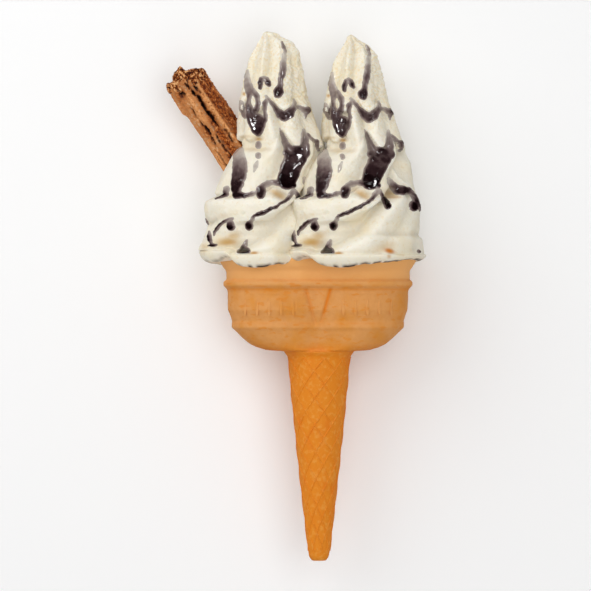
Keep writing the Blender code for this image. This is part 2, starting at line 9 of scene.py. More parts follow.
import bmesh
import bpy
import numpy as np
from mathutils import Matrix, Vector


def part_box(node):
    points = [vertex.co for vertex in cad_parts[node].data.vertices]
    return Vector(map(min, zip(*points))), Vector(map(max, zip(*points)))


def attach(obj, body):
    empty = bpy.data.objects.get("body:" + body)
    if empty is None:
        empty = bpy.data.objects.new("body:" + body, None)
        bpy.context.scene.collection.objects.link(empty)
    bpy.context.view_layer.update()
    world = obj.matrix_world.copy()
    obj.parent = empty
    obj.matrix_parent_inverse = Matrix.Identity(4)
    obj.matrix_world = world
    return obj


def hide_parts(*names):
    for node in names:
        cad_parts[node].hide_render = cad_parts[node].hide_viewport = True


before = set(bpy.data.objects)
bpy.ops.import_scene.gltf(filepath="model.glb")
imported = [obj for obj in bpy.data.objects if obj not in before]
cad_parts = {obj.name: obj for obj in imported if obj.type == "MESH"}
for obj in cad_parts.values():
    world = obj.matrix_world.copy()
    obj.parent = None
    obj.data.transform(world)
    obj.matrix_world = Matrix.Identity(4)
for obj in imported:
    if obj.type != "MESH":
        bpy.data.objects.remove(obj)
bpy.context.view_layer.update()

MM = 0.001
WAFER_LOW, WAFER_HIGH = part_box("wafer_cone")
AXIS_X = 0.5 * (WAFER_LOW.x + WAFER_HIGH.x)
RIM_Y = WAFER_HIGH.y
AXIS_Z = 0.5 * (WAFER_LOW.z + WAFER_HIGH.z)
# Depth at which the back of a swirl is pressed flat, a hair above the floor
FLOOR_DEPTH = -AXIS_Z / MM + 0.02

# Camera: middle of the picture in the row frame, width of the picture at the wafer's axis
PICTURE_CENTRE = (-1.05, 0.16)
PICTURE_WIDTH = 277.8
LENS = 180.0
SENSOR = 36.0

# Soft lights, and small ones that show as glints in gloss alone: name, place, side in metres, watts
SOFT_LIGHTS = [
    ("key", (-0.6, 0.55, 0.62), 1.0, 4.6), ("top", (0.22, 0.1, 1.1), 0.9, 4.3),
    ("fill", (0.15, -0.6, 0.7), 0.8, 0.9)]
GLINT_LIGHTS = [
    ("glint", (-0.42, 0.45, 0.75), 0.1, 2.8), ("second_glint", (0.2, 0.5, 0.8), 0.1, 2.8),
    ("third_glint", (-0.1, 0.8, 0.6), 0.12, 2.8)]
LIGHT_TARGET = (0.0, 0.02, 0.03)
WORLD_LIGHT = 0.4
FLOOR_SIDE = 6.0

# Swirls
SWIRL_AXIS_X = {"left": -22.3, "right": 17.4}
FRONT_BULGE = {"left": 0.96, "right": 1.14}
BACK_BULGE = 1.02
STRETCH_START = 25.0
STRETCH = {"left": 1.5 / 80.0, "right": 0.0}
LEFT_OUTLINE = [
    (103.9, 3.0), (103.4, 3.8), (101.5, 4.3), (99.6, 5.2), (98.0, 5.8), (94.0, 8.7), (91.0, 10.6),
    (86.9, 11.6), (83.2, 12.8), (78.0, 13.6), (72.8, 15.0), (69.1, 15.3), (65.3, 14.9), (62.5, 15.5),
    (55.5, 15.7), (51.2, 14.3), (49.6, 16.2), (46.5, 18.6), (42.8, 20.4), (38.1, 22.7), (33.4, 24.8),
    (27.9, 26.6), (25.8, 31.1), (20.7, 31.3), (17.4, 30.5), (14.6, 29.4), (12.2, 30.1), (8.5, 31.3),
    (5.2, 32.7), (2.8, 33.6), (0.8, 34.0)]
RIGHT_OUTLINE = [
    (103.9, -1.0), (103.4, -0.4), (102.5, 0.8), (101.5, 1.9), (99.9, 4.0), (99.3, 6.2), (96.3, 8.9),
    (93.7, 11.1), (88.4, 12.5), (82.2, 14.4), (78.0, 15.5), (72.8, 16.4), (67.4, 18.7), (63.0, 19.7),
    (56.4, 22.1), (52.4, 23.5), (47.9, 24.0), (43.4, 26.3), (38.5, 26.9), (34.1, 27.5), (28.7, 29.3),
    (24.0, 30.7), (20.2, 31.0), (12.2, 30.7), (9.4, 29.9), (8.0, 32.0), (2.3, 32.4), (0.8, 32.4)]
# How much fuller the left swirl stands on its right side
RIGHT_SIDE_EXTRA = [
    (103.9, 2.4), (103.2, 4.0), (101.5, 3.0), (99.3, 5.0), (96.8, 4.0), (94.5, 3.4), (89.8, 3.2),
    (85.2, 3.0), (81.4, 2.4), (75.8, 2.1), (50.0, 2.2), (35.0, 1.0), (25.0, 0.0)]
AXIS_DRIFT = [
    (103.9, -2.0), (101.5, -1.1), (99.0, -0.2), (92.0, 0.8), (70.0, 1.3), (50.0, 2.6), (36.0, 1.2),
    (24.0, 0.0), (0.8, 0.0)]
OUTLINE_BLUR = 0.5
TIP_HEIGHT = 103.9
LEDGE_HEIGHT = 0.8
SKIRT_RADIUS = 33.6
# Lower edge of the cream that laps over the cup rim: (angle, height)
SKIRT_FOOT = [
    (0, -2.4), (26, -1.9), (37, -2.1), (46, -2.6), (54, -3.0), (61, -3.5), (70, -3.5), (78, -4.3),
    (83, -4.1), (90, -4.9), (97, -5.7), (105, -5.9), (115, -5.3), (121, -4.1), (125, -1.6), (131, -0.9),
    (136, -1.2), (140, -2.8), (150, -3.1), (170, -2.9), (180, -2.7), (200, -3.6), (230, -4.4), (260, -3.6),
    (290, -4.5), (320, -3.8), (345, -3.0), (360, -2.4)]

# Flutes of each coil, top coil first: crest angles in degrees at the coil's foot, turn from foot to head,
# depth, and where in each gap the valley lies
SPIRE = {"foot": [29, 72, 117, 160, 205, 250, 295, 340], "turn": -9.0, "depth": 1.7, "valley": 0.55}
UPPER = {"foot": [21, 62, 97, 134, 178, 222, 262, 302, 341], "turn": 3.0, "depth": 1.9, "valley": 0.5}
# Folds of the two lower coils: crest and valley lines as (height, angle) stations from the right side
# round the front to the back, and how deep each valley is
MIDDLE_CRESTS = [
    [(28, 22), (40, 12), (60, 2)],
    [(28, 67), (34.8, 64.5), (39.5, 62.8), (42.8, 54.8), (47.5, 42), (53, 39), (60, 33)],
    [(28, 120), (31, 116.7), (34.8, 113), (39.5, 110.3), (44.2, 106.4), (47.5, 97), (51.7, 89), (56.9, 91),
     (62, 97)],
    [(28, 168), (45, 150), (60, 140)],
    [(28, 215), (60, 190)], [(28, 260), (60, 235)], [(28, 305), (60, 280)], [(28, 345), (60, 322)]]
MIDDLE_VALLEYS = [
    [(28, 50), (38, 51), (42.8, 45), (47.5, 34), (53, 29), (60, 22)],
    [(28, 94), (36.7, 89), (40.4, 83), (47.5, 76), (54.5, 76), (60, 75)],
    [(28, 146), (45, 130), (60, 117)],
    [(28, 192), (60, 165)], [(28, 238), (60, 212)], [(28, 282), (60, 258)], [(28, 325), (60, 301)],
    [(28, 364), (60, 342)]]
MIDDLE_DEPTHS = [3.2, 4.4, 1.4, 2.2, 2.6, 2.6, 2.6, 2.2]
RING_CRESTS = [
    [(0, 58), (2.8, 54.5), (7.5, 42.8), (13.2, 30), (19.3, 22), (24, 20), (32, 14)],
    [(0, 116), (3.8, 95), (7.5, 81), (13.2, 68), (17.9, 60), (22.6, 52), (26.8, 43), (32, 35)],
    [(0, 166), (4, 160), (8.5, 153), (14.5, 137), (16.2, 122), (16.7, 108), (18.1, 99), (20, 90), (21.9, 81),
     (24, 75), (27.3, 68), (32, 60)],
    [(0, 215), (16, 190), (32, 165)], [(0, 262), (32, 215)], [(0, 305), (32, 262)], [(0, 350), (32, 315)]]
RING_VALLEYS = [
    [(0, 82), (1.9, 75.7), (6.1, 64), (11.3, 51.5), (16.9, 42), (22.6, 35), (32, 25)],
    [(0, 142), (2.8, 124), (5.6, 112), (8.5, 101), (12.2, 90), (16.9, 82), (21.6, 75), (24, 70), (26.3, 61),
     (32, 48)],
    [(0, 190), (16, 165), (32, 115)], [(0, 238), (32, 190)], [(0, 284), (32, 238)], [(0, 328), (32, 288)],
    [(0, 384), (32, 345)]]
RING_DEPTHS = [1.6, 5.8, 0.7, 2.6, 2.8, 2.8, 2.6]
# Smaller folds on the shown side: (across, height, half-width, rise)
CREAM_FOLDS = [
    ("shoulder", [(-16.5, 53.4, 2.0, 0.7), (-9.4, 52.4, 2.0, 1.1), (-3.3, 52.8, 1.8, 0.8)]),
    ("shoulder crease", [(-14.5, 50.6, 1.2, -0.4), (-9.4, 49.6, 1.3, -0.6), (-4.7, 48.9, 1.3, -0.6),
        (-0.5, 49.9, 1.2, -0.4)]),
    ("tongue", [(-1.4, 70.5, 1.5, 1.0), (-0.6, 64.0, 1.9, 1.4), (1.0, 57.5, 2.2, 1.4),
        (2.4, 51.5, 2.4, 1.0)]),
    ("beside tongue", [(2.8, 67.0, 1.6, -0.8), (4.6, 62.0, 2.0, -1.0), (5.6, 56.0, 2.0, -0.9)]),
    ("thin rim", [(17.5, 40.5, 0.8, 0.7), (19.3, 36.7, 0.9, 1.0), (22.1, 34.5, 0.9, 1.0),
        (25.4, 32.8, 0.8, 0.7)]),
    ("petal rim", [(0.5, 72.4, 0.9, 0.4), (3.3, 69.2, 1.0, 0.8), (5.4, 68.3, 1.0, 0.9),
        (8.0, 69.2, 1.0, 0.8), (10.8, 72.0, 0.9, 0.4)]),
    ("spire ridge", [(-2.4, 102.5, 0.7, 0.5), (-2.4, 96.8, 0.9, 0.8), (-3.3, 92.0, 1.0, 0.9),
        (-4.2, 83.5, 1.0, 0.7)]),
    ("spire hollow", [(0.2, 100.8, 0.9, -0.7), (0.0, 92.0, 1.3, -1.1), (-1.0, 84.0, 1.3, -0.9)]),
    ("spire white ridge", [(3.8, 98.0, 0.8, 0.5), (4.0, 91.0, 0.9, 0.4)]),
    ("spire right ridge", [(8.2, 95.5, 0.8, 0.6), (9.0, 85.0, 1.0, 0.8), (10.0, 74.0, 1.0, 0.5)]),
    ("spire left band", [(-5.4, 98.4, 0.8, 0.4), (-8.5, 93.5, 0.9, 0.5), (-10.0, 88.5, 0.9, 0.5)]),
    ("notch", [(-31.0, 17.8, 1.2, -0.6), (-28.9, 15.0, 1.2, -1.4), (-25.8, 16.4, 1.2, -0.7)]),
    ("dent", [(-12.9, 19.4, 0.7, -0.5), (-12.2, 20.2, 0.6, -0.4)]),
    ("small dent", [(-0.6, 25.6, 0.7, -0.5), (-0.2, 24.8, 0.6, -0.3)]),
    ("stained hollow", [(-0.5, 29.8, 1.2, -0.8), (3.3, 28.4, 1.6, -1.5), (7.0, 26.4, 1.2, -1.0)]),
    ("right hollow", [(13.2, 31.0, 1.3, -0.8), (17.0, 29.4, 1.7, -1.4), (21.0, 28.6, 1.2, -0.8)]),
    ("foot crease", [(-8.0, 1.9, 1.0, -0.7), (2.0, 1.8, 0.9, -0.6), (12.0, 1.9, 0.9, -0.5)]),
]
# Coil edges, top first: height over the valleys, how far the petals hang below it, inset below the edge,
# height over which the inset runs out
EDGES = [(74.4, 7.4, 1.6, 6.0), (58.4, 8.0, 2.0, 7.0), (32.8, 4.2, 1.6, 4.0)]
EDGE_ROUNDING = 0.8
COIL_BLEND = 1.4
# From where on up, and over how much height, the cream grows rougher and yellower
UPPER_START = 45.0
UPPER_FADE = 25.0
PETAL_ROUNDNESS = 0.75
TONGUE_ANGLE = 96.0
EDGE_RAGGEDNESS = 0.45

# Where the right swirl laps over the front of the left one
LAP_TOP = 58.0
LAP_FADE = 22.0
LAP_SQUARENESS = 3.6
LAP_PRESS = 0.2

# Rings of the skirt: share of the way from the ledge down to the ragged foot, and how far out
SKIRT_RINGS = [
    (0.0, 0.1), (0.06, 0.55), (0.15, 0.75), (0.28, 0.7), (0.42, 0.45), (0.56, 0.1), (0.7, -0.4),
    (0.82, -1.0), (0.93, -1.9), (1.0, -3.0), (0.96, -4.4)]
SKIRT_INSET = 0.9
# Rings with a painted shadow line in the gap over the wafer, and how dark it is
SKIRT_GAP_SHADOW = [(7, 0.35), (8, 1.0), (9, 0.75)]
CREAM_ROWS = 262
CREAM_FRONT_COLUMNS = 200
CREAM_BACK_COLUMNS = 100
CREAM_GRAIN = 0.13
CREAM_LUMPS = 0.35
TORN_RELIEF = 0.4
PLUG_CENTRE_X = 20.1
PLUG = [(-2.4, 24.6), (-4.4, 22.6), (-7.4, 18.9), (-26.0, 18.6), (-33.5, 16.5), (-38.4, 12.0), (-40.6, 5.6)]

# Sauce on one swirl: name and (across from the swirl's axis, height above the rim, half-width, darkness)
SAUCE = [
    ("long drip", [(5.5, 98.9, 0.6, 0.45), (6.1, 96.8, 0.9, 0.55), (6.9, 94.9, 0.6, 0.4),
        (6.4, 93.1, 0.9, 0.08), (6.3, 91.2, 1.1, 0.1), (5.9, 88.8, 1.4, 0.36), (5.9, 86.5, 1.5, 0.52),
        (5.5, 84.1, 1.6, 0.6), (4.8, 81.8, 1.3, 0.6), (4.6, 79.0, 1.4, 0.65), (3.7, 76.1, 2.3, 0.82),
        (3.6, 75.0, 2.0, 0.85)]),
    ("arch", [(-4.9, 77.8, 1.0, 0.85), (-4.7, 79.9, 1.2, 0.85), (-4.2, 82.0, 1.0, 0.6),
        (-3.1, 82.5, 1.1, 0.3), (-2.1, 81.8, 1.2, 0.5), (-1.3, 80.4, 1.3, 0.85), (-0.7, 79.2, 0.9, 0.85)]),
    ("flank", [(-10.8, 86.0, 0.7, 0.12), (-11.0, 83.7, 1.1, 0.15), (-10.8, 80.8, 1.6, 0.25),
        (-10.3, 78.5, 2.0, 0.35), (-9.6, 76.1, 2.1, 0.45), (-10.1, 73.8, 1.1, 0.55),
        (-10.2, 71.0, 1.1, 0.62), (-9.9, 68.1, 1.9, 0.65), (-9.0, 65.3, 2.5, 0.7), (-6.4, 62.0, 4.1, 0.75),
        (-6.1, 59.2, 3.1, 0.8), (-5.8, 57.3, 1.9, 0.85)]),
    ("flank right", [(-8.2, 76.6, 1.2, 0.45), (-6.3, 73.8, 1.2, 0.55), (-5.9, 71.0, 1.1, 0.62),
        (-6.4, 68.6, 1.3, 0.65), (-7.8, 66.3, 1.7, 0.7)]),
    ("flank pale", [(-13.9, 71.0, 1.2, 0.2), (-13.4, 68.1, 1.5, 0.25), (-12.0, 65.1, 1.4, 0.4)]),
    ("branch", [(-1.4, 73.1, 0.7, 0.2), (-2.7, 70.7, 1.3, 0.6), (-2.8, 68.1, 0.9, 0.6),
        (-2.3, 65.3, 0.9, 0.6), (-2.8, 63.0, 1.2, 0.7), (-4.2, 60.6, 2.0, 0.75)]),
    ("scallop", [(-2.1, 74.0, 0.7, 0.15), (-0.7, 72.6, 1.0, 0.4), (0.9, 70.7, 0.9, 0.6),
        (2.6, 68.1, 1.3, 0.68), (4.5, 65.8, 2.0, 0.74), (6.6, 64.9, 2.4, 0.76), (8.9, 66.1, 2.3, 0.72),
        (10.8, 68.5, 1.5, 0.6), (11.3, 71.0, 0.9, 0.25), (11.0, 72.4, 0.6, 0.15)]),
    ("scallop link", [(11.5, 69.3, 1.0, 0.35), (13.6, 68.9, 1.0, 0.4), (15.5, 67.9, 1.3, 0.5),
        (17.1, 67.5, 1.7, 0.6), (16.5, 65.6, 0.9, 0.6), (16.4, 64.0, 0.4, 0.6)]),
    ("left prong", [(4.4, 59.2, 0.4, 0.25), (5.4, 56.4, 0.9, 0.38), (6.7, 53.1, 1.5, 0.45),
        (8.0, 50.3, 2.0, 0.5), (9.6, 47.9, 2.6, 0.55)]),
    ("right prong", [(15.7, 58.5, 0.8, 0.15), (15.7, 56.4, 1.2, 0.3), (16.1, 54.0, 1.9, 0.45),
        (16.1, 50.8, 2.3, 0.52), (15.7, 47.9, 2.8, 0.6)]),
    ("pool top", [(8.2, 48.2, 2.5, 0.74), (15.6, 48.0, 2.9, 0.78)]),
    ("pool", [(11.9, 46.0, 5.3, 0.8), (10.7, 43.2, 4.9, 0.74), (9.0, 39.5, 4.9, 0.84),
        (7.6, 35.6, 4.6, 1)]),
    ("pool foot", [(4.5, 33.7, 1.1, 1), (7.5, 33.3, 1.4, 1), (11.0, 32.9, 1.2, 1)]),
    ("link", [(17.4, 56.2, 1.1, 0.5), (19.5, 54.3, 0.8, 0.5), (20.8, 53.3, 0.9, 0.6),
        (21.7, 53.0, 1.3, 0.65), (21.9, 51.4, 1.2, 0.65), (21.9, 49.8, 0.5, 0.6)]),
    ("bubble", [(-5.8, 51.8, 1.6, 0.4), (-5.8, 51.3, 1.6, 0.4)]),
    ("second bubble", [(-5.8, 46.9, 1.3, 0.25), (-5.8, 46.2, 1.2, 0.25)]),
    ("trail", [(-6.2, 43.9, 0.5, 0.15), (-7.0, 41.8, 1.0, 0.12), (-7.7, 39.5, 0.5, 0.12)]),
    ("pool tail", [(3.3, 34.3, 1.5, 0.7), (0.9, 34.3, 1.2, 0.4), (-1.4, 33.7, 1.5, 0.25),
        (-3.4, 32.9, 1.2, 0.4), (-4.3, 30.8, 2.2, 0.8), (-4.7, 28.7, 2.1, 0.85)]),
    ("ring line", [(-7.0, 29.6, 0.8, 0.4), (-8.7, 29.1, 1.1, 0.5), (-10.3, 28.6, 0.8, 0.75),
        (-12.5, 28.1, 1.1, 0.9), (-16.0, 28.8, 2.0, 0.95)]),
    ("ring line left", [(-20.7, 28.8, 1.2, 1), (-23.0, 27.7, 0.7, 1), (-25.5, 26.8, 0.4, 1)]),
    ("ring pale", [(-20.7, 31.1, 1.7, 0.35), (-21.1, 29.8, 1.3, 0.6)]),
    ("oval", [(-14.6, 48.6, 2.3, 0.08), (-14.7, 46.5, 2.9, 0.2), (-14.4, 43.7, 3.4, 0.4),
        (-14.3, 40.4, 3.6, 0.56), (-14.6, 37.6, 3.5, 0.72), (-15.3, 34.3, 3.0, 0.8),
        (-16.2, 31.0, 2.3, 0.88)]),
    ("notch", [(-15.6, 51.8, 0.8, 0.9), (-14.1, 50.4, 0.7, 0.9)]),
    ("diagonal", [(10.8, 30.3, 1.3, 0.25), (9.4, 28.7, 1.2, 0.4), (8.3, 26.9, 0.9, 0.9),
        (6.3, 25.4, 0.8, 1), (4.2, 24.2, 0.7, 1), (2.6, 22.9, 0.9, 1), (0.2, 22.1, 0.9, 1),
        (-1.6, 21.1, 0.9, 1), (-3.8, 20.1, 1.0, 1), (-5.6, 19.4, 0.9, 1), (-7.7, 18.6, 0.6, 1),
        (-8.3, 17.4, 1.0, 0.35), (-8.9, 16.2, 0.9, 0.45), (-9.9, 14.2, 2.0, 1), (-10.0, 13.5, 1.7, 1)]),
    ("drop", [(11.6, 30.3, 0.8, 0.3), (12.5, 28.7, 0.7, 1), (13.6, 26.6, 1.2, 1), (14.8, 24.7, 1.6, 1),
        (15.4, 23.4, 1.7, 1)]),
    ("right pool", [(15.7, 36.2, 0.8, 0.1), (16.6, 34.5, 1.5, 0.3), (18.2, 32.4, 1.9, 0.6),
        (20.0, 31.0, 2.2, 0.78), (22.6, 30.7, 2.2, 0.8), (24.9, 30.5, 1.7, 0.78), (26.3, 29.8, 1.2, 0.6),
        (27.5, 27.9, 1.4, 0.6), (28.5, 25.8, 1.5, 0.8), (29.8, 23.5, 1.0, 0.7), (30.5, 21.4, 0.6, 0.6)]),
    ("right blob", [(27.4, 23.7, 2.3, 1), (27.4, 23.0, 2.2, 1)]),
    ("fold line", [(-17.6, 17.5, 0.5, 0.4), (-19.7, 17.0, 0.7, 0.7), (-21.6, 16.1, 0.8, 1),
        (-23.5, 14.7, 0.8, 1), (-25.1, 13.0, 0.9, 1), (-26.3, 11.3, 0.6, 1), (-26.5, 9.7, 0.4, 1)]),
    ("fold drip", [(-28.7, 11.3, 0.6, 0.4), (-28.7, 8.9, 1.1, 1), (-28.5, 7.3, 1.0, 1),
        (-28.0, 5.9, 0.6, 0.9), (-27.4, 4.9, 0.8, 1)]),
    ("fold blob", [(-29.2, 3.4, 0.4, 1), (-27.3, 3.9, 1.2, 1), (-25.8, 4.1, 1.0, 1)]),
    ("fold drop", [(-18.8, 16.2, 1.1, 0.3), (-18.8, 15.0, 1.7, 0.7), (-18.7, 13.7, 2.1, 1)]),
    ("short line", [(-30.5, 17.4, 0.4, 0.8), (-29.8, 16.0, 0.5, 0.85), (-29.1, 14.8, 0.4, 0.8)]),
    ("foot", [(-11.3, 7.0, 0.8, 0.35), (-11.9, 5.6, 1.2, 0.4), (-12.6, 4.1, 1.4, 0.9),
        (-13.0, 2.7, 1.8, 1)]),
    ("foot blob", [(-15.2, 2.2, 0.9, 1), (-13.0, 2.8, 1.8, 1), (-10.9, 2.5, 1.5, 1)]),
    ("right dab", [(29.7, 2.2, 0.8, 0.8), (30.1, 2.0, 0.8, 0.8)]),
]
# Thin raised beads in the sauce that catch the light: (across, height, half-width, rise)
SAUCE_BEADS = [
    ("flank streak", [(-8.0, 76.1, 0.5, 0.45), (-8.4, 72.5, 0.55, 0.5), (-8.9, 67.7, 0.5, 0.45)]),
    ("flank second", [(-9.9, 70.8, 0.55, 0.5), (-10.3, 67.1, 0.38, 0.42)]),
    ("flank foot", [(-7.6, 63.0, 0.5, 0.45), (-6.7, 62.6, 0.38, 0.42)]),
    ("flank foot right", [(-5.4, 62.1, 0.5, 0.45), (-5.2, 61.3, 0.38, 0.42)]),
    ("branch dot", [(-2.4, 65.8, 0.38, 0.42), (-2.4, 64.9, 0.38, 0.42)]),
    ("drip dot", [(4.0, 77.5, 0.55, 0.5), (4.2, 76.2, 0.55, 0.5)]),
    ("scallop streak", [(6.0, 66.0, 0.5, 0.45), (8.0, 66.7, 0.42, 0.5), (9.4, 68.6, 0.38, 0.42)]),
    ("link streak", [(15.6, 70.6, 0.5, 0.45), (15.7, 67.6, 0.38, 0.42)]),
    ("pool arc", [(14.0, 42.9, 0.5, 0.45), (11.6, 41.2, 0.55, 0.5), (9.9, 38.9, 0.55, 0.5),
        (9.8, 36.7, 0.5, 0.45)]),
    ("pool dot", [(8.0, 46.7, 0.5, 0.45), (8.0, 45.2, 0.5, 0.45)]),
    ("pool edge", [(4.7, 41.0, 0.38, 0.42), (4.7, 38.7, 0.55, 0.5)]),
    ("pool foot streak", [(3.4, 34.2, 0.38, 0.42), (7.8, 34.5, 0.55, 0.5)]),
    ("oval streak", [(-14.2, 42.9, 0.5, 0.45), (-13.8, 40.5, 0.55, 0.5)]),
    ("oval crescent", [(-16.3, 36.9, 0.5, 0.45), (-14.7, 34.4, 0.55, 0.5), (-13.6, 35.6, 0.5, 0.45)]),
    ("prong dots", [(15.0, 54.2, 0.5, 0.45), (15.4, 52.7, 0.5, 0.45)]),
    ("blob gleam", [(-10.6, 15.8, 0.38, 0.42), (-9.7, 16.3, 0.38, 0.42)]),
]
SAUCE_ANGLES = (-6.0, 186.0)
SAUCE_TOP = 101.0
SAUCE_COLUMN_STEP = 0.6
SAUCE_ROW_STEP = 0.27
SAUCE_THICKNESS = 1.0
SAUCE_SHOULDER = 1.7
SAUCE_MARGIN = 0.38
SAUCE_SUNK = 0.6
SAUCE_WAVER = 0.34
SAUCE_SEED = {"left": 31, "right": 41}
# Over what width strokes run together, their darkness mixes, beads rise, and the colour grows deep
SAUCE_MERGE = 0.45
SAUCE_MIX = 0.35
SAUCE_RISE = 1.3
SAUCE_DEEP = 1.05

# Stains on one swirl: across, height, half-width, half-height, turn in degrees, amount, streak
STAINS = [
    (3.6, 28.9, 5.2, 2.0, -30.0, 0.65, 0.0), (3.6, 28.2, 3.6, 0.8, -38.0, 0.5, 0.1),
    (16.9, 29.1, 4.8, 2.0, -6.0, 0.5, 0.0), (18.1, 27.5, 4.2, 0.7, 0.0, 0.5, 0.2),
    (-11.0, 55.4, 4.5, 0.9, 0.0, 0.35, 0.0),
    (-20.4, 6.4, 6.0, 2.8, 8.0, 0.8, 0.0), (-19.4, 5.8, 3.4, 1.4, 12.0, 0.6, 0.12),
    (-17.4, 9.0, 4.0, 2.4, 15.0, 0.6, 0.0),
    (16.2, 2.7, 2.6, 1.2, -15.0, 0.9, 0.8), (14.5, 4.2, 6.0, 2.4, 12.0, 0.42, 0.0),
    (15.0, -0.8, 1.0, 1.0, 0.0, 0.45, 0.2), (20.5, 0.2, 2.2, 0.8, 0.0, 0.3, 0.0),
    (-7.8, 1.7, 2.2, 0.75, 0.0, 0.85, 0.3), (-22.5, 18.5, 4.5, 1.4, 12.0, 0.2, 0.0),
    (-12.4, 75.2, 0.8, 1.0, 0.0, 0.7, 0.2), (-6.5, 49.6, 7.5, 1.2, 0.0, 0.3, 0.0),
    (-5.4, 54.2, 1.8, 0.9, 0.0, 0.7, 0.1), (-31.0, 3.2, 1.8, 2.6, 0.0, 0.35, 0.0)]

# Wafer: half-width, half-depth and waist depth at heights from the cup rim down to the cup floor
CUP_CENTRE_X = 19.9
CUP_SECTIONS = [
    (0.0, 46.5, 26.6, 2.2), (-2.8, 46.1, 26.2, 2.3), (-5.2, 44.6, 24.8, 2.5), (-7.1, 43.1, 23.2, 2.8),
    (-11.3, 43.0, 23.1, 3.0), (-12.2, 44.4, 24.6, 2.8), (-14.1, 44.4, 24.5, 2.8), (-15.5, 42.8, 22.9, 3.0),
    (-17.0, 42.3, 22.4, 3.0), (-25.4, 42.2, 22.3, 3.0), (-28.2, 41.0, 21.1, 2.8), (-30.6, 40.2, 20.4, 2.6),
    (-32.4, 40.4, 20.6, 2.5), (-33.8, 40.4, 20.6, 2.4), (-34.8, 39.2, 19.6, 2.2), (-36.6, 37.4, 18.9, 2.0),
    (-38.5, 35.5, 18.1, 1.8), (-41.4, 32.0, 17.0, 1.4), (-43.2, 28.4, 16.2, 1.0), (-44.2, 24.2, 15.6, 0.6)]
FRONT_SAG = 0.08
STEM_SECTIONS = [
    (-44.9, 15.2), (-48.0, 14.6), (-60.0, 13.45), (-80.0, 11.55), (-103.9, 9.1), (-125.0, 6.7),
    (-138.0, 5.3), (-141.0, 4.8), (-142.5, 4.1), (-143.2, 3.0)]
CUP_FLOOR = CUP_SECTIONS[-1][0]
STEM_TOP = STEM_SECTIONS[0][0]
STEM_CENTRE_X = 0.5
# Half-width and half-depth of the outline whose points give the directions round the stem
STEM_TURNS = (24.2, 15.6)
CREASE_TOP = (-15.0, 5.8)
CREASE_LOW = (-31.0, 1.4)
CREASE_DEPTH = 0.8
WAIST_SHARE = 0.5
BORE_CENTRE_X = 20.1
BORE = [(1.5, 24.6), (-2.8, 23.6), (-7.2, 19.3), (-26.0, 19.0), (-33.5, 16.9), (-38.6, 12.4), (-41.0, 6.0)]
BORE_COLUMNS = 96
# Framed panel on each cup's wall: inner side, outer side, foot and top
PANEL = (9.6, 36.0, -28.6, -17.6)
PANEL_RISE = 0.12
WAFER_FRONT_STEPS = 80
WAFER_BACK_STEPS = 40
WAFER_ROW = 0.36
STEM_ROW = 0.52

# Flaked bar
BAR_TOP = (-64.6, 86.95)
BAR_LENGTH = 79.0
BAR_DIRECTION = (0.545, -0.838)
BAR_DEPTH_AT_TOP = -5.5
BAR_DEPTH_SLOPE = -0.07
BAR_WIDTH = 17.2
BAR_THICKNESS = 12.4
BAR_ROLL = math.radians(35.0)
BAR_SQUARENESS = 6.0
BAR_COLUMNS = 280
BAR_ROWS = 230
BAR_CAP_ROWS = 26
# How much wider the bar stands to the left and to the right, by the distance along it
BAR_LEFT = [(0.0, 0.07), (16.0, 0.07), (21.0, -0.06), (32.0, -0.07), (46.0, -0.03), (60.0, 0.0)]
BAR_RIGHT = [(0.0, 0.03), (14.0, 0.02), (22.0, 0.08), (34.0, 0.06), (60.0, 0.0)]
# Ragged upper end: (across, how far down it starts)
BAR_TOP_EDGE = [
    (-11.4, 5.6), (-10.7, 4.6), (-8.7, 1.8), (-7.6, 2.4), (-5.6, 2.6), (-4.6, 0.4), (0.9, -1.6), (1.9, 1.7),
    (3.1, 2.0), (8.9, 4.2), (10.1, 5.6), (10.7, 7.7)]
# Cracks on the shown side: (across, along, half-width, depth)
BAR_CRACKS = [
    [(-1.6, 6.2, 0.4, 1.4), (-0.9, 9.0, 0.6, 1.9), (-0.5, 12.2, 0.65, 2.0), (0.5, 15.0, 0.75, 2.2),
     (0.2, 18.4, 0.7, 2.3), (0.0, 22.0, 0.6, 2.2), (0.5, 25.2, 0.75, 2.4), (0.5, 28.2, 0.6, 2.0),
     (0.9, 31.0, 0.25, 0.8)],
    [(1.5, 9.6, 0.45, 1.4), (1.9, 11.4, 0.55, 1.8), (2.2, 13.2, 0.4, 1.3)],
    [(-5.9, 16.3, 0.22, 0.8), (-5.4, 19.0, 0.35, 1.0), (-5.5, 21.3, 0.4, 1.2), (-5.3, 23.4, 0.15, 0.5)],
    [(-5.2, 25.6, 0.35, 1.3), (-4.6, 28.0, 0.75, 2.4), (-4.7, 32.0, 0.75, 2.4), (-4.9, 35.8, 0.5, 1.6),
     (-5.3, 38.6, 0.2, 0.6)],
    [(-2.4, 33.4, 0.25, 0.8), (-2.9, 37.0, 0.35, 1.1), (-2.7, 41.5, 0.3, 1.2), (-2.4, 45.5, 0.6, 1.7),
     (-2.4, 52.0, 0.6, 1.8)],
    [(-6.9, 39.7, 0.2, 0.6), (-6.3, 44.0, 0.3, 0.9), (-6.3, 52.0, 0.35, 1.0)],
    [(-6.9, 8.8, 0.5, 1.2), (-5.5, 9.4, 1.15, 2.8), (-4.4, 10.2, 0.7, 1.8)],
    [(2.5, 33.9, 0.5, 1.5), (2.6, 36.0, 0.35, 1.0), (2.7, 41.0, 0.4, 0.8)],
    [(8.0, 27.5, 0.25, 0.5), (8.6, 31.0, 0.3, 0.7), (9.0, 35.0, 0.25, 0.5)],
]
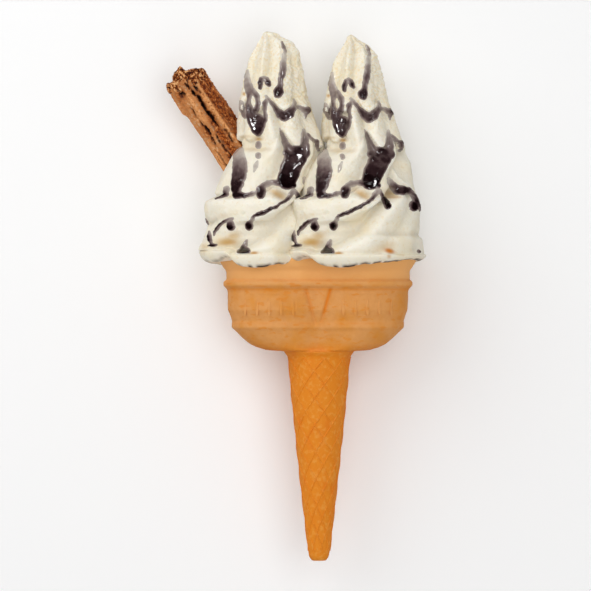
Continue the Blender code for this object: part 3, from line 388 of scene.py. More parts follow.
# Raised ridges, painted light, and sunk hollows, painted brown as shade, on the shown side: (across, along,
# half-width, height)
BAR_RIDGES = [
    [(2.1, 8.5, 1.0, 0.5), (2.4, 16.0, 1.1, 0.7), (2.9, 22.7, 1.2, 0.9), (3.4, 30.7, 1.1, 0.9),
     (3.9, 38.4, 1.1, 0.8), (4.4, 48.0, 1.1, 0.7)],
    [(-3.1, 10.0, 1.4, 0.4), (-2.9, 14.4, 1.6, 0.6), (-3.2, 24.3, 1.5, 0.7), (-2.8, 31.0, 1.2, 0.6),
     (-4.1, 38.0, 0.9, 0.5), (-4.5, 46.0, 0.9, 0.5)],
]
BAR_HOLLOW = [
    [(0.6, 24.0, 1.4, 0.5), (0.0, 30.0, 2.4, 1.2), (-0.2, 40.0, 2.6, 1.4), (0.4, 50.0, 2.6, 1.3)],
    [(-4.0, 37.0, 0.7, 0.4), (-4.2, 42.0, 1.3, 0.7), (-4.2, 52.0, 1.5, 0.7)],
]
# Where the right face, painted dark as shade, begins: (along, across), and where small pits, painted dark as
# shade, lie in rows
BAR_FACE_LINE = [(0.0, 6.0), (8.0, 4.4), (11.4, 3.5), (22.2, 3.2), (31.5, 3.3), (39.0, 4.0), (60.0, 4.6)]
BAR_DOTTED = [
    [(-6.2, 22.0, 0.6, 1.0), (-5.6, 30.0, 0.9, 1.0), (-6.0, 38.0, 1.3, 1.4), (-4.6, 46.0, 1.4, 1.4),
     (-4.4, 52.0, 1.4, 1.2)],
    [(1.2, 8.0, 0.9, 1.0), (2.0, 16.0, 0.9, 1.0), (2.4, 30.0, 1.2, 0.9), (3.0, 44.0, 1.2, 0.9)],
    [(-8.0, 4.0, 2.0, 1.2), (-4.0, 8.0, 2.0, 1.2), (0.0, 5.0, 2.0, 1.2), (5.0, 9.0, 2.0, 1.2)],
]

# Raised diagonal ribs on the stem, a few in each direction
LATTICE_RIBS = 9
LATTICE_TURNS = 0.8
LATTICE_TOP = -47.5
LATTICE_LENGTH = 91.0
LATTICE_TOP_RADIUS = 14.6
LATTICE_TIP_RADIUS = 4.9
LATTICE_STEPS = 90
RIB_RADIUS = 0.3
RIB_SIDES = 8
# Upright lozenges on the cup walls: height, first of each row, and half sizes; how high over the axis
# they are dropped from to find the wall
LOZENGE_HEIGHT = -24.3
LOZENGE_DROP = 60.0
LOZENGE_STARTS = (-34.0, 11.6)
LOZENGE_SPACING = 5.6
LOZENGE_COUNT = 5
LOZENGE_SIZE = (0.85, 3.9, 0.3)
# Crumbs on the bar: number a square metre, and radii
CRUMB_DENSITY = 2.2e6
CRUMB_SMALLEST = 0.16
CRUMB_LARGEST = 0.42
CRUMB_SEED = 7


def row_frame(points):
    """Points of the standing frame in millimetres, as points of the row frame in metres."""
    return np.asarray(points) * MM + np.array([AXIS_X, RIM_Y, AXIS_Z])


def noise(x, y, z, seed):
    """Smooth value noise between -1 and 1 with cells one unit wide."""
    x, y, z = np.broadcast_arrays(np.asarray(x, float), y, z)
    cell = [np.floor(value).astype(np.int64) for value in (x, y, z)]
    share = [value - low for value, low in zip((x, y, z), cell)]
    share = [value * value * (3.0 - 2.0 * value) for value in share]
    total = np.zeros(x.shape)
    for corner in range(8):
        step = (corner & 1, (corner >> 1) & 1, (corner >> 2) & 1)
        key = (cell[0] + step[0]) * 73856093 ^ (cell[1] + step[1]) * 19349663
        key = key ^ (cell[2] + step[2]) * 83492791 ^ seed * 2654435761
        key = ((key ^ (key >> 13)) & 0xFFFFFFFF) * 1274126177
        key = ((key ^ (key >> 16)) & 0xFFFFFFFF) * 668265263
        value = ((key >> 12) & 0xFFFF) / 32767.5 - 1.0
        weight = 1.0
        for axis in range(3):
            weight = weight * (share[axis] if step[axis] else 1.0 - share[axis])
        total += weight * value
    return total


def smooth_table(stations, blur):
    """Fine table of a falling list of (height, value) stations, with its corners rounded."""
    step = 0.1
    heights = np.arange(-160.0, 112.0, step)
    values = np.interp(heights, [s[0] for s in reversed(stations)], [s[1] for s in reversed(stations)])
    reach = int(4.0 * blur / step)
    kernel = np.exp(-0.5 * (np.arange(-reach, reach + 1) * step / blur) ** 2)
    return heights, np.convolve(np.pad(values, reach, mode="edge"), kernel / kernel.sum(), mode="valid")


def profile(table, height):
    """Value of a smooth table at a height."""
    return np.interp(height, table[0], table[1])


LEFT_TABLE = smooth_table(LEFT_OUTLINE, OUTLINE_BLUR)
RIGHT_TABLE = smooth_table(RIGHT_OUTLINE, OUTLINE_BLUR)
EXTRA_TABLE = smooth_table(RIGHT_SIDE_EXTRA, OUTLINE_BLUR)
DRIFT_TABLE = smooth_table(AXIS_DRIFT, 1.0)


def smooth_step(value):
    """Ease from 0 to 1 over the unit interval."""
    value = np.clip(value, 0.0, 1.0)
    return value * value * (3.0 - 2.0 * value)


def half_wave(part, whole):
    """Ease from 1 to 0 along one flank of a fold."""
    return 0.5 + 0.5 * np.cos(math.pi * np.clip(part / np.maximum(whole, 1e-6), 0.0, 1.0))


def crest_share(angle, crests, valleys):
    """1 on a crest line, 0 in a valley line, and the gap each point lies in; lines and angle in degrees."""
    first = crests[0]
    turned = np.mod(angle - first, 360.0) + first
    share = np.zeros_like(turned)
    gap = np.zeros(turned.shape, int)
    for index, valley in enumerate(valleys):
        low = crests[index]
        high = crests[index + 1] if index + 1 < len(crests) else first + 360.0
        inside = (turned >= low) & (turned < high)
        down, up = half_wave(turned - low, valley - low), half_wave(high - turned, high - valley)
        share = np.where(inside, np.where(turned < valley, down, up), share)
        gap = np.where(inside, index, gap)
    return share ** PETAL_ROUNDNESS, gap


def coil_share(coil, angle, place):
    """Crest share in one coil; place runs from 0 at its foot to 1 at its head."""
    crests = [crest + coil["turn"] * place for crest in coil["foot"]]
    following = crests[1:] + [crests[0] + 360.0]
    valleys = [low + (high - low) * coil["valley"] for low, high in zip(crests, following)]
    return crest_share(angle, crests, valleys)[0]


def fold_depth(angle, height, crests, valleys, depths):
    """How far the folds of a lower coil set the surface back, from lines given by stations."""
    crests, valleys = [[np.interp(height, *zip(*line)) for line in lines] for lines in (crests, valleys)]
    share, gap = crest_share(angle, crests, valleys)
    return np.array(depths)[gap] * (1.0 - share)


def along_step(across, height, start, end):
    """Share of the way along one step of a line, and distance from it."""
    step = (end[0] - start[0], end[1] - start[1])
    length = step[0] ** 2 + step[1] ** 2
    share = np.clip(((across - start[0]) * step[0] + (height - start[1]) * step[1]) / length, 0.0, 1.0)
    return share, np.hypot(across - start[0] - share * step[0], height - start[1] - share * step[1])


def line_relief(across, height, lines):
    """Rise of named lines of (across, height, half-width, rise) at points seen from the front."""
    relief = np.zeros_like(across)
    for _, line in lines:
        nearest = np.full(across.shape, 9.0)
        rise = np.zeros_like(across)
        for start, end in zip(line, line[1:]):
            share, gap = along_step(across, height, start, end)
            width = start[2] + (end[2] - start[2]) * share
            here = (start[3] + (end[3] - start[3]) * share) * np.exp(-(gap / width) ** 2)
            rise = np.where(gap < nearest, here, rise)
            nearest = np.minimum(gap, nearest)
        relief += rise
    return relief


def as_seen(side, across, height, depth):
    """Where points of a swirl show in the picture: nearer ones stand further from the picture's centre."""
    distance = LENS / SENSOR * PICTURE_WIDTH
    closer = distance / (distance - np.maximum(depth, 0.0))
    centre_x = PICTURE_CENTRE[0] - AXIS_X / MM - SWIRL_AXIS_X[side]
    centre_h = PICTURE_CENTRE[1] - RIM_Y / MM
    return centre_x + (across - centre_x) * closer, centre_h + (height - centre_h) * closer


def edge_height(index, angle):
    """Height of a coil's lower edge: petals hang at the crests, arches rise over the valleys."""
    arch, hang, _, _ = EDGES[index]
    # The lowest edge follows the middle coil's folds, the upper two their own coil's flutes
    if index == 2:
        stations = [np.full_like(angle, line[1][1]) for line in MIDDLE_CRESTS]
        share = crest_share(angle, stations, [np.full_like(angle, line[1][1]) for line in MIDDLE_VALLEYS])[0]
        front_left = smooth_step((np.cos(np.radians(angle - 150.0)) - 0.35) / 0.4)
        share = share + (1.0 - share) * front_left
    else:
        share = coil_share((SPIRE, UPPER)[index], angle, np.zeros_like(angle))
    # The middle edge hangs far down on its front right only
    if index == 1:
        front_right = smooth_step((np.cos(np.radians(angle - 40.0)) - 0.1) / 0.5)
        hang = 2.6 + (hang - 2.6) * front_right
        arch = arch - 2.2 * (1.0 - front_right)
    around = np.radians(angle)
    ragged = noise(9.0 * np.cos(around), 9.0 * np.sin(around), 3.7 * index, 11)
    return arch - hang * share + EDGE_RAGGEDNESS * ragged


def swirl_radius(side, angle, height):
    """Distance of the cream's surface from its drifting axis; angle in degrees, 90 towards the viewer."""
    drift = profile(DRIFT_TABLE, height)
    left = profile(LEFT_TABLE, height) + drift
    right = profile(RIGHT_TABLE, height) - drift
    if side == "left":
        right = right + profile(EXTRA_TABLE, height)
    around = np.radians(angle)
    radius = 0.5 * (left + right) + 0.5 * (right - left) * np.cos(around)
    depth_seen = radius * np.sin(around) * FRONT_BULGE[side]
    _, height = as_seen(side, drift + radius * np.cos(around), height, depth_seen)
    # From here on the height is the one seen in the picture, which the folds were read from
    edges = [edge_height(index, angle) for index in range(3)]
    blend = [smooth_step((height - edge) / COIL_BLEND + 0.5) for edge in edges]
    for index, (coil, head) in enumerate(((SPIRE, TIP_HEIGHT), (UPPER, edges[0]))):
        place = (height - edges[index]) / np.maximum(head - edges[index], 1e-6)
        fluting = coil["depth"] * np.minimum(1.0, radius / 9.0) * (1.0 - coil_share(coil, angle, place))
        radius = radius - fluting * blend[index] * (1.0 - blend[0] if index else 1.0)
    middle = fold_depth(angle, height, MIDDLE_CRESTS, MIDDLE_VALLEYS, MIDDLE_DEPTHS)
    ring = fold_depth(angle, height, RING_CRESTS, RING_VALLEYS, RING_DEPTHS)
    beside = 1.0 - 0.75 * smooth_step((np.abs(np.cos(around)) - 0.86) / 0.12)
    radius = radius - middle * beside * blend[2] * (1.0 - blend[1])
    radius = radius - ring * beside * (1.0 - blend[2]) * smooth_step(height / 4.0 + 0.2)
    # Each coil stands back below the edge of the one above, except at the tongue
    for index, (_, _, inset, reach) in enumerate(EDGES):
        below = edges[index] - height
        cut = smooth_step((below + EDGE_ROUNDING) / (2.0 * EDGE_ROUNDING))
        fade = np.clip(1.0 - (below - EDGE_ROUNDING) / reach, 0.0, 1.0) ** 1.5
        if index == 1:
            inset = inset * (1.0 - np.exp(-((angle - TONGUE_ANGLE) / 17.0) ** 4))
        radius = radius - inset * cut * fade
    shown = smooth_step(np.sin(around) / 0.15)
    across, _ = as_seen(side, drift + radius * np.cos(around), height, depth_seen)
    radius = radius + shown * line_relief(across, height, CREAM_FOLDS)
    # Lumps, grain and, on the spire's right, torn lace
    place = (radius * np.cos(around), height, radius * np.sin(around))
    lumps = noise(place[0] / 6.0, place[1] / 5.0, place[2] / 6.0, 3)
    grain = noise(place[0] / 0.9, place[1] / 0.8, place[2] / 0.9, 4)
    grain = grain + 0.7 * noise(place[0] / 2.1, place[1] / 1.7, place[2] / 2.1, 5)
    torn = smooth_step((height - 62.0) / 12.0) * smooth_step((np.cos(around) - 0.15) / 0.4)
    lace = noise(place[0] / 2.6, height / 1.1 + 0.25 * place[0], place[2] / 2.6, 6)
    lace = np.abs(lace) + 0.6 * noise(place[0] / 1.3, height / 0.7, place[2] / 1.3, 7)
    taper = np.minimum(1.0, radius / 6.0)
    rough = CREAM_GRAIN * (1.0 + 0.8 * smooth_step((height - UPPER_START) / UPPER_FADE))
    fine = CREAM_LUMPS * lumps + rough * grain - TORN_RELIEF * torn * lace
    return np.maximum(radius + fine * taper, 0.5)


def squared(angle, height):
    """How much further out the right swirl's front left quarter stands, to lap over the left swirl."""
    around = np.radians(angle)
    power = LAP_SQUARENESS
    reach = (np.abs(np.cos(around)) ** power + np.abs(np.sin(around)) ** power) ** (-1.0 / power)
    quarter = smooth_step((angle - 90.0) / 15.0) * smooth_step((180.0 - angle) / 4.0 + 0.4)
    return 1.0 + (reach - 1.0) * quarter * smooth_step((LAP_TOP - height) / LAP_FADE)


def pressed(across, height):
    """How far the left swirl's front is pressed back where the right swirl laps over it."""
    return 1.0 - LAP_PRESS * smooth_step((across - 1.0) / 12.0) * smooth_step((LAP_TOP - height) / LAP_FADE)


def swirl_points(side, angle, height, radius):
    """Points of one swirl's surface in the standing frame."""
    around = np.radians(angle)
    out = radius * (squared(angle, height) if side == "right" else 1.0)
    bulge = np.where(np.sin(around) > 0.0, FRONT_BULGE[side], BACK_BULGE)
    across = profile(DRIFT_TABLE, height) + out * np.cos(around)
    depth = out * np.sin(around) * bulge
    if side == "left":
        depth = depth * np.where(np.sin(around) > 0.0, pressed(across, height), 1.0)
    level = height + STRETCH[side] * np.maximum(height - STRETCH_START, 0.0)
    level = level + ledge_lift(angle, depth) * smooth_step((7.0 - height) / 6.0)
    depth = np.maximum(depth, FLOOR_DEPTH)
    return np.stack([SWIRL_AXIS_X[side] + across, level, depth], axis=-1)


def ledge_lift(angle, depth):
    """How far the ledge line stands off its plain height: higher on the left, lower towards the viewer."""
    return 1.8 * smooth_step((angle - 124.0) / 5.0) * smooth_step((200.0 - angle) / 14.0) - 0.014 * depth


def skirt_foot(angle):
    """Height of the ragged lower edge of the cream that laps over the cup rim."""
    around = np.radians(angle)
    ragged = noise(13.0 * np.cos(around), 13.0 * np.sin(around), 0.5, 23)
    ragged = ragged + 0.6 * noise(29.0 * np.cos(around), 29.0 * np.sin(around), 0.5, 24)
    return np.interp(angle, *zip(*SKIRT_FOOT)) + 0.28 * ragged


def mesh_object(name, points, faces):
    """Smooth mesh object in the row frame from points of the standing frame."""
    mesh = bpy.data.meshes.new(name)
    mesh.from_pydata(row_frame(points).tolist(), [], faces)
    mesh.update()
    mesh.shade_smooth()
    item = bpy.data.objects.new(name, mesh)
    bpy.context.scene.collection.objects.link(item)
    return item


def ring_faces(rows, columns):
    """Faces of a grid that closes around, with a pole before the first row and one after the last."""
    index = np.arange(columns)
    following = (index + 1) % columns
    faces = np.stack([np.zeros(columns, int), 1 + following, 1 + index], axis=1).tolist()
    for row in range(rows - 1):
        start = 1 + row * columns
        quads = [start + index, start + following, start + columns + following, start + columns + index]
        faces += np.stack(quads, axis=1).tolist()
    start = 1 + (rows - 1) * columns
    faces += np.stack([start + index, start + following, np.full(columns, start + columns)], axis=1).tolist()
    return faces


def loft(name, grid, first_pole, last_pole):
    """Closed mesh through a grid of rows of points, with its faces outward."""
    rows, columns = grid.shape[:2]
    points = np.concatenate([[first_pole], grid.reshape(-1, 3), [last_pole]])
    item = mesh_object(name, points, ring_faces(rows, columns))
    turn_outward(item)
    return item


def turn_outward(item):
    """Flip all faces if the closed mesh is inside out."""
    work = bmesh.new()
    work.from_mesh(item.data)
    if work.calc_volume(signed=True) < 0.0:
        bmesh.ops.reverse_faces(work, faces=work.faces)
    work.to_mesh(item.data)
    work.free()


def set_attribute(item, name, values):
    """Store one number a vertex for the materials."""
    layer = item.data.attributes.new(name, "FLOAT", "POINT")
    layer.data.foreach_set("value", np.asarray(values, dtype=np.float32).ravel())


def blurred(grid, columns_reach, rows_reach):
    """Grid averaged over its neighbours; columns close around."""
    for axis, reach, mode in ((1, columns_reach, "wrap"), (0, rows_reach, "edge")):
        steps = np.arange(-reach, reach + 1)
        weights = np.exp(-2.0 * (steps / (reach + 0.5)) ** 2)
        margins = [(0, 0), (0, 0)]
        margins[axis] = (reach, reach)
        padded = np.pad(grid, margins, mode=mode)
        kept = np.arange(grid.shape[axis]) + reach
        grid = sum(weight * np.take(padded, kept + step, axis=axis) for step, weight in zip(steps, weights))
        grid = grid / weights.sum()
    return grid


def stain_fields(across, height):
    """Ochre stain and orange streak at points seen from the front."""
    stain = np.zeros_like(across)
    streak = np.zeros_like(across)
    for x, h, wide, high, turn, amount, orange in STAINS:
        cos, sin = math.cos(math.radians(turn)), math.sin(math.radians(turn))
        dx, dh = across - x, height - h
        u = (dx * cos + dh * sin) / wide
        v = (dh * cos - dx * sin) / high
        patch = np.exp(-1.3 * (u * u + v * v) ** 1.3)
        stain = np.maximum(stain, amount * patch)
        streak = np.maximum(streak, orange * patch)
    return stain, streak


def make_cream(side):
    """One swirl of cream: coils, skirt over the rim, and the cream down in its cup."""
    angles = np.concatenate([np.arange(CREAM_FRONT_COLUMNS) * 180.0 / CREAM_FRONT_COLUMNS,
                             180.0 + np.arange(CREAM_BACK_COLUMNS) * 180.0 / CREAM_BACK_COLUMNS])
    around = np.radians(angles)
    heights = np.linspace(TIP_HEIGHT - 0.05, LEDGE_HEIGHT, CREAM_ROWS)
    angle, height = np.meshgrid(angles, heights)
    radius = swirl_radius(side, angle, height)
    ease = np.sqrt(np.clip((TIP_HEIGHT + 0.05 - height) / 1.1, 0.0, 1.0))
    radius = radius * ease
    body = swirl_points(side, angle, height, radius)

    bulge = np.where(np.sin(around) > 0.0, FRONT_BULGE[side], BACK_BULGE)
    foot = skirt_foot(angles)
    ledge = LEDGE_HEIGHT - 0.15 + ledge_lift(angles, SKIRT_RADIUS * np.sin(around) * bulge)
    # Skirt over the rim, and below it the painted shadow line in its gap and the plug in the cup
    rings = []
    lump = noise(4.0 * np.cos(around), 4.0 * np.sin(around), 0.0, 21)
    for share, reach in SKIRT_RINGS:
        level = ledge + (foot - ledge) * share
        fine = noise(20.0 * np.cos(around), 20.0 * np.sin(around), level / 1.4, 22)
        out = (SKIRT_RADIUS - SKIRT_INSET + reach) + 0.35 * lump * share + 0.1 * fine
        out = out * (squared(angles, level) if side == "right" else 1.0)
        depth = out * np.sin(around) * bulge
        across = out * np.cos(around)
        if side == "left":
            depth = depth * np.where(np.sin(around) > 0.0, pressed(across, level), 1.0)
        depth = np.maximum(depth, FLOOR_DEPTH)
        rings.append(np.stack([SWIRL_AXIS_X[side] + across, level, depth], axis=-1))
    gap_shadow = 1.6 * noise(9.0 * np.cos(around), 9.0 * np.sin(around), 0.5, 25)
    gap_shadow = gap_shadow + 1.6 * noise(26.0 * np.cos(around), 26.0 * np.sin(around), 0.5, 26)
    gap_shadow = np.clip(gap_shadow + 0.85, 0.0, 1.0)
    gap_shadow = gap_shadow * np.interp(angles, (0.0, 112.0, 120.0, 360.0), (1.0, 1.0, 0.45, 0.45))
    centre = PLUG_CENTRE_X if side == "right" else -PLUG_CENTRE_X
    for level, out in PLUG:
        rings.append(np.stack([centre + out * np.cos(around), np.full_like(around, level),
                               out * np.sin(around)], axis=-1))
    grid = np.concatenate([body, np.array(rings)])
    tip_drift = float(profile(DRIFT_TABLE, TIP_HEIGHT))
    tip_level = TIP_HEIGHT + STRETCH[side] * (TIP_HEIGHT - STRETCH_START)
    item = loft("cream_" + side, grid, (SWIRL_AXIS_X[side] + tip_drift, tip_level + 0.1, 0.0),
                (centre, PLUG[-1][0] - 0.05, 0.0))

    # Painted shade in hollows and painted light on ridges, from fine and wide relief
    relief = radius - blurred(radius, 7, 6)
    wide = radius - blurred(radius, 16, 14)
    ridge_light_hollow_shade = np.clip(0.5 * relief / 0.5 + 0.5 * wide / 1.1, -1.0, 1.0)
    across, level = as_seen(side, body[..., 0] - SWIRL_AXIS_X[side], height, body[..., 2])
    stain, streak = stain_fields(across, level)
    shown = np.sin(np.radians(angle)) > 0.05
    extra = len(rings) * len(angles)

    def laid_out(values, fill):
        return np.concatenate([[fill], values.ravel(), np.full(extra + 1, fill)])

    skirt = np.array([ring[:, 1] for ring in rings[: len(SKIRT_RINGS)]])
    skirt_across = np.array([ring[:, 0] for ring in rings[: len(SKIRT_RINGS)]]) - SWIRL_AXIS_X[side]
    start = 1 + CREAM_ROWS * len(angles)
    skirt_shown = np.broadcast_to(np.sin(around) > 0.05, skirt.shape)
    on_skirt = stain_fields(skirt_across, skirt)
    set_attribute(item, "ridge_light_hollow_shade", laid_out(ridge_light_hollow_shade, 0.0))
    for name, on_body, below in zip(("stain", "streak"), (stain, streak), on_skirt):
        values = laid_out(np.where(shown, on_body, 0.0), 0.0)
        values[start: start + skirt.size] = np.where(skirt_shown, below, 0.0).ravel()
        set_attribute(item, name, values)
    set_attribute(item, "upper", laid_out(smooth_step((height - UPPER_START) / UPPER_FADE), 0.0))
    # Painted shadow line in the skirt's gap over the wafer
    gap_shadow_values = np.zeros(len(item.data.vertices))
    for row, amount in SKIRT_GAP_SHADOW:
        low = start + row * len(angles)
        gap_shadow_values[low: low + len(angles)] = amount * gap_shadow
    set_attribute(item, "gap", gap_shadow_values)
    return item


def sauce_fields(across, height):
    """Distance inside the sauce's edge, negative outside, and the sauce's darkness."""
    inside = np.full(across.shape, -9.0)
    darkness = np.zeros(across.shape)
    weight = np.full(across.shape, 1e-9)
    for _, stroke in SAUCE:
        for start, end in zip(stroke, stroke[1:]):
            share, gap = along_step(across, height, start, end)
            here = start[2] + (end[2] - start[2]) * share - gap
            mix = np.clip(0.5 + 0.5 * (here - inside) / SAUCE_MERGE, 0.0, 1.0)
            inside = inside + (here - inside) * mix + SAUCE_MERGE * mix * (1.0 - mix)
            pull = np.exp(np.clip(here, -3.0, 3.0) / SAUCE_MIX)
            darkness += pull * (start[3] + (end[3] - start[3]) * share)
            weight += pull
    return inside, darkness / weight


def edge_waver(across, height, offset, seed):
    """Uneven shift of the sauce's edge, coarse and fine."""
    coarse = noise(across / 2.6, height / 2.6, offset, seed)
    return coarse + 0.5 * noise(across / 1.1, height / 1.1, offset, seed + 1)


def make_sauce(side):
    """Sauce on one swirl: a thin sheet whose edge dips under the cream."""
    angles = np.arange(*SAUCE_ANGLES, SAUCE_COLUMN_STEP)
    heights = np.arange(SAUCE_TOP, LEDGE_HEIGHT + 0.1, -SAUCE_ROW_STEP)
    angle, height = np.meshgrid(angles, heights)
    radius = swirl_radius(side, angle, height)
    base = swirl_points(side, angle, height, radius)
    across, level = as_seen(side, base[..., 0] - SWIRL_AXIS_X[side], height, base[..., 2])
    seed = SAUCE_SEED[side]
    inside, darkness = sauce_fields(across + SAUCE_WAVER * edge_waver(across, height, 0.5, seed),
                                    level + SAUCE_WAVER * edge_waver(across, height, 7.5, seed))
    beads = line_relief(across, level, SAUCE_BEADS)
    inside = np.where(np.sin(np.radians(angle)) > -0.05, inside, -9.0)
    darkness = np.clip(darkness, 0.0, 1.0)
    # Domed at its edge, level over small folds, and sunk where there is none
    dome = np.sqrt(1.0 - (1.0 - np.clip(inside / SAUCE_SHOULDER, 0.0, 1.0)) ** 2)
    lift = SAUCE_THICKNESS * (0.25 + 0.75 * darkness) * dome
    lift = np.where(inside > 0.0, lift, inside * 1.1)
    filled = np.clip(blurred(radius, 8, 10) - radius, -0.5, 2.0)
    lift = lift + (filled + beads) * smooth_step(inside / SAUCE_RISE)
    top = swirl_points(side, angle, height, radius + lift)
    low = swirl_points(side, angle, height, np.maximum(radius - SAUCE_SUNK, 0.2))

    # Faces of the top, the underside and the rim between them
    wet = inside > -SAUCE_MARGIN
    cells = wet[:-1, :-1] | wet[1:, :-1] | wet[:-1, 1:] | wet[1:, 1:]
    cells = fill_corners(cells)
    used = np.zeros(inside.shape, bool)
    for corner in (used[:-1, :-1], used[1:, :-1], used[:-1, 1:], used[1:, 1:]):
        corner |= cells
    number = np.full(inside.shape, -1)
    number[used] = np.arange(used.sum())
    count = int(used.sum())
    rows, columns = np.nonzero(cells)
    corner = [number[rows, columns], number[rows, columns + 1], number[rows + 1, columns + 1],
              number[rows + 1, columns]]
    faces = np.stack(corner, axis=1).tolist()
    faces += np.stack([value + count for value in reversed(corner)], axis=1).tolist()
    around = np.pad(cells, 1)
    for side_index, (row_step, column_step) in enumerate(((-1, 0), (0, 1), (1, 0), (0, -1))):
        beyond = around[rows + 1 + row_step, columns + 1 + column_step]
        first = corner[side_index][~beyond]
        second = corner[(side_index + 1) % 4][~beyond]
        faces += np.stack([second, first, first + count, second + count], axis=1).tolist()
    points = np.concatenate([top[used], low[used]])
    item = mesh_object("sauce_" + side, points, faces)
    turn_outward(item)
    set_attribute(item, "dark", np.concatenate([darkness[used], darkness[used]]))
    depth = np.clip(inside[used] / SAUCE_DEEP, 0.0, 1.0)
    set_attribute(item, "deep", np.concatenate([depth, depth]))
    return item


def fill_corners(cells):
    """Fill cells so that no two touch at a corner alone."""
    while True:
        a, b, c, d = cells[:-1, :-1], cells[:-1, 1:], cells[1:, :-1], cells[1:, 1:]
        touch_one = a & d & ~b & ~c
        touch_two = b & c & ~a & ~d
        if not (touch_one.any() or touch_two.any()):
            return cells
        cells = cells.copy()
        cells[:-1, 1:] |= touch_one
        cells[:-1, :-1] |= touch_two


def no_waist(x):
    """Waist of a plain outline: none."""
    return 0.0 * x


def cup_outline(width, depth, waist_line):
    """Outline of a twin cup with a fine shown side; returns x, z and the outward direction."""
    centre = min(CUP_CENTRE_X, width - depth)

    def quarter(steps):
        arc = int(steps * 0.38)
        turn = 0.5 * math.pi * np.arange(arc) / arc
        x = np.concatenate([centre + (width - centre) * np.cos(turn),
                            centre * (1.0 - np.arange(steps - arc) / (steps - arc))])
        z = np.concatenate([depth * np.sin(turn), np.full(steps - arc, depth)])
        out_x = np.concatenate([np.cos(turn), np.zeros(steps - arc)])
        out_z = np.concatenate([np.sin(turn), np.ones(steps - arc)])
        flat = np.concatenate([np.zeros(arc), np.ones(steps - arc)])
        sag = FRONT_SAG * depth * np.where(flat > 0.0, (1.0 - (x / max(centre, 1e-6)) ** 2) ** 2, 0.0)
        return x, z - sag, out_x, out_z

    parts = []
    for steps, front in ((WAFER_FRONT_STEPS, 1.0), (WAFER_BACK_STEPS, -1.0)):
        x, z, out_x, out_z = quarter(steps)
        middle = (np.array([0.0]), np.array([depth * (1.0 - FRONT_SAG)]), np.array([0.0]), np.array([1.0]))
        parts.append([front * np.concatenate([half, centre_value, turned * half[:0:-1]])
                      for half, centre_value, turned
                      in zip((x, z, out_x, out_z), middle, (-1, 1, -1, 1))])
    x, z, out_x, out_z = [np.concatenate(pair) for pair in zip(*parts)]
    return x, z - np.sign(z) * waist_line(np.abs(x)) * np.exp(-(x / 9.0) ** 6), out_x, out_z


def waist_shape(height, depth):
    """Depth of the waist across the cups at one height: a wide shallow valley with two slanting creases."""
    share = (height - CREASE_TOP[0]) / (CREASE_LOW[0] - CREASE_TOP[0])
    crease = CREASE_TOP[1] + (CREASE_LOW[1] - CREASE_TOP[1]) * min(max(share, 0.0), 1.0)
    strength = float(smooth_step(share / 0.08) * smooth_step((1.25 - share) / 0.4))

    def shape(x):
        valley = WAIST_SHARE * depth * np.exp(-((x / 5.6) ** 2))
        groove = CREASE_DEPTH * strength * np.exp(-((x - crease) / 0.8) ** 2)
        strip = 0.25 * strength * (1.0 - smooth_step((x - crease + 0.8) / 1.6))
        return valley + groove - strip
    return shape


def panel_relief(x, height, shown_depth):
    """Raised thin frame around the plain panel on each cup's wall."""
    left, right, low, high = PANEL
    dx = np.maximum(left - x, x - right)
    dh = np.maximum(low - height, height - high)
    edge = np.maximum(dx, dh)
    line = np.exp(-((edge + 0.2) / 0.45) ** 2)
    return PANEL_RISE * line * (shown_depth > 0.0)


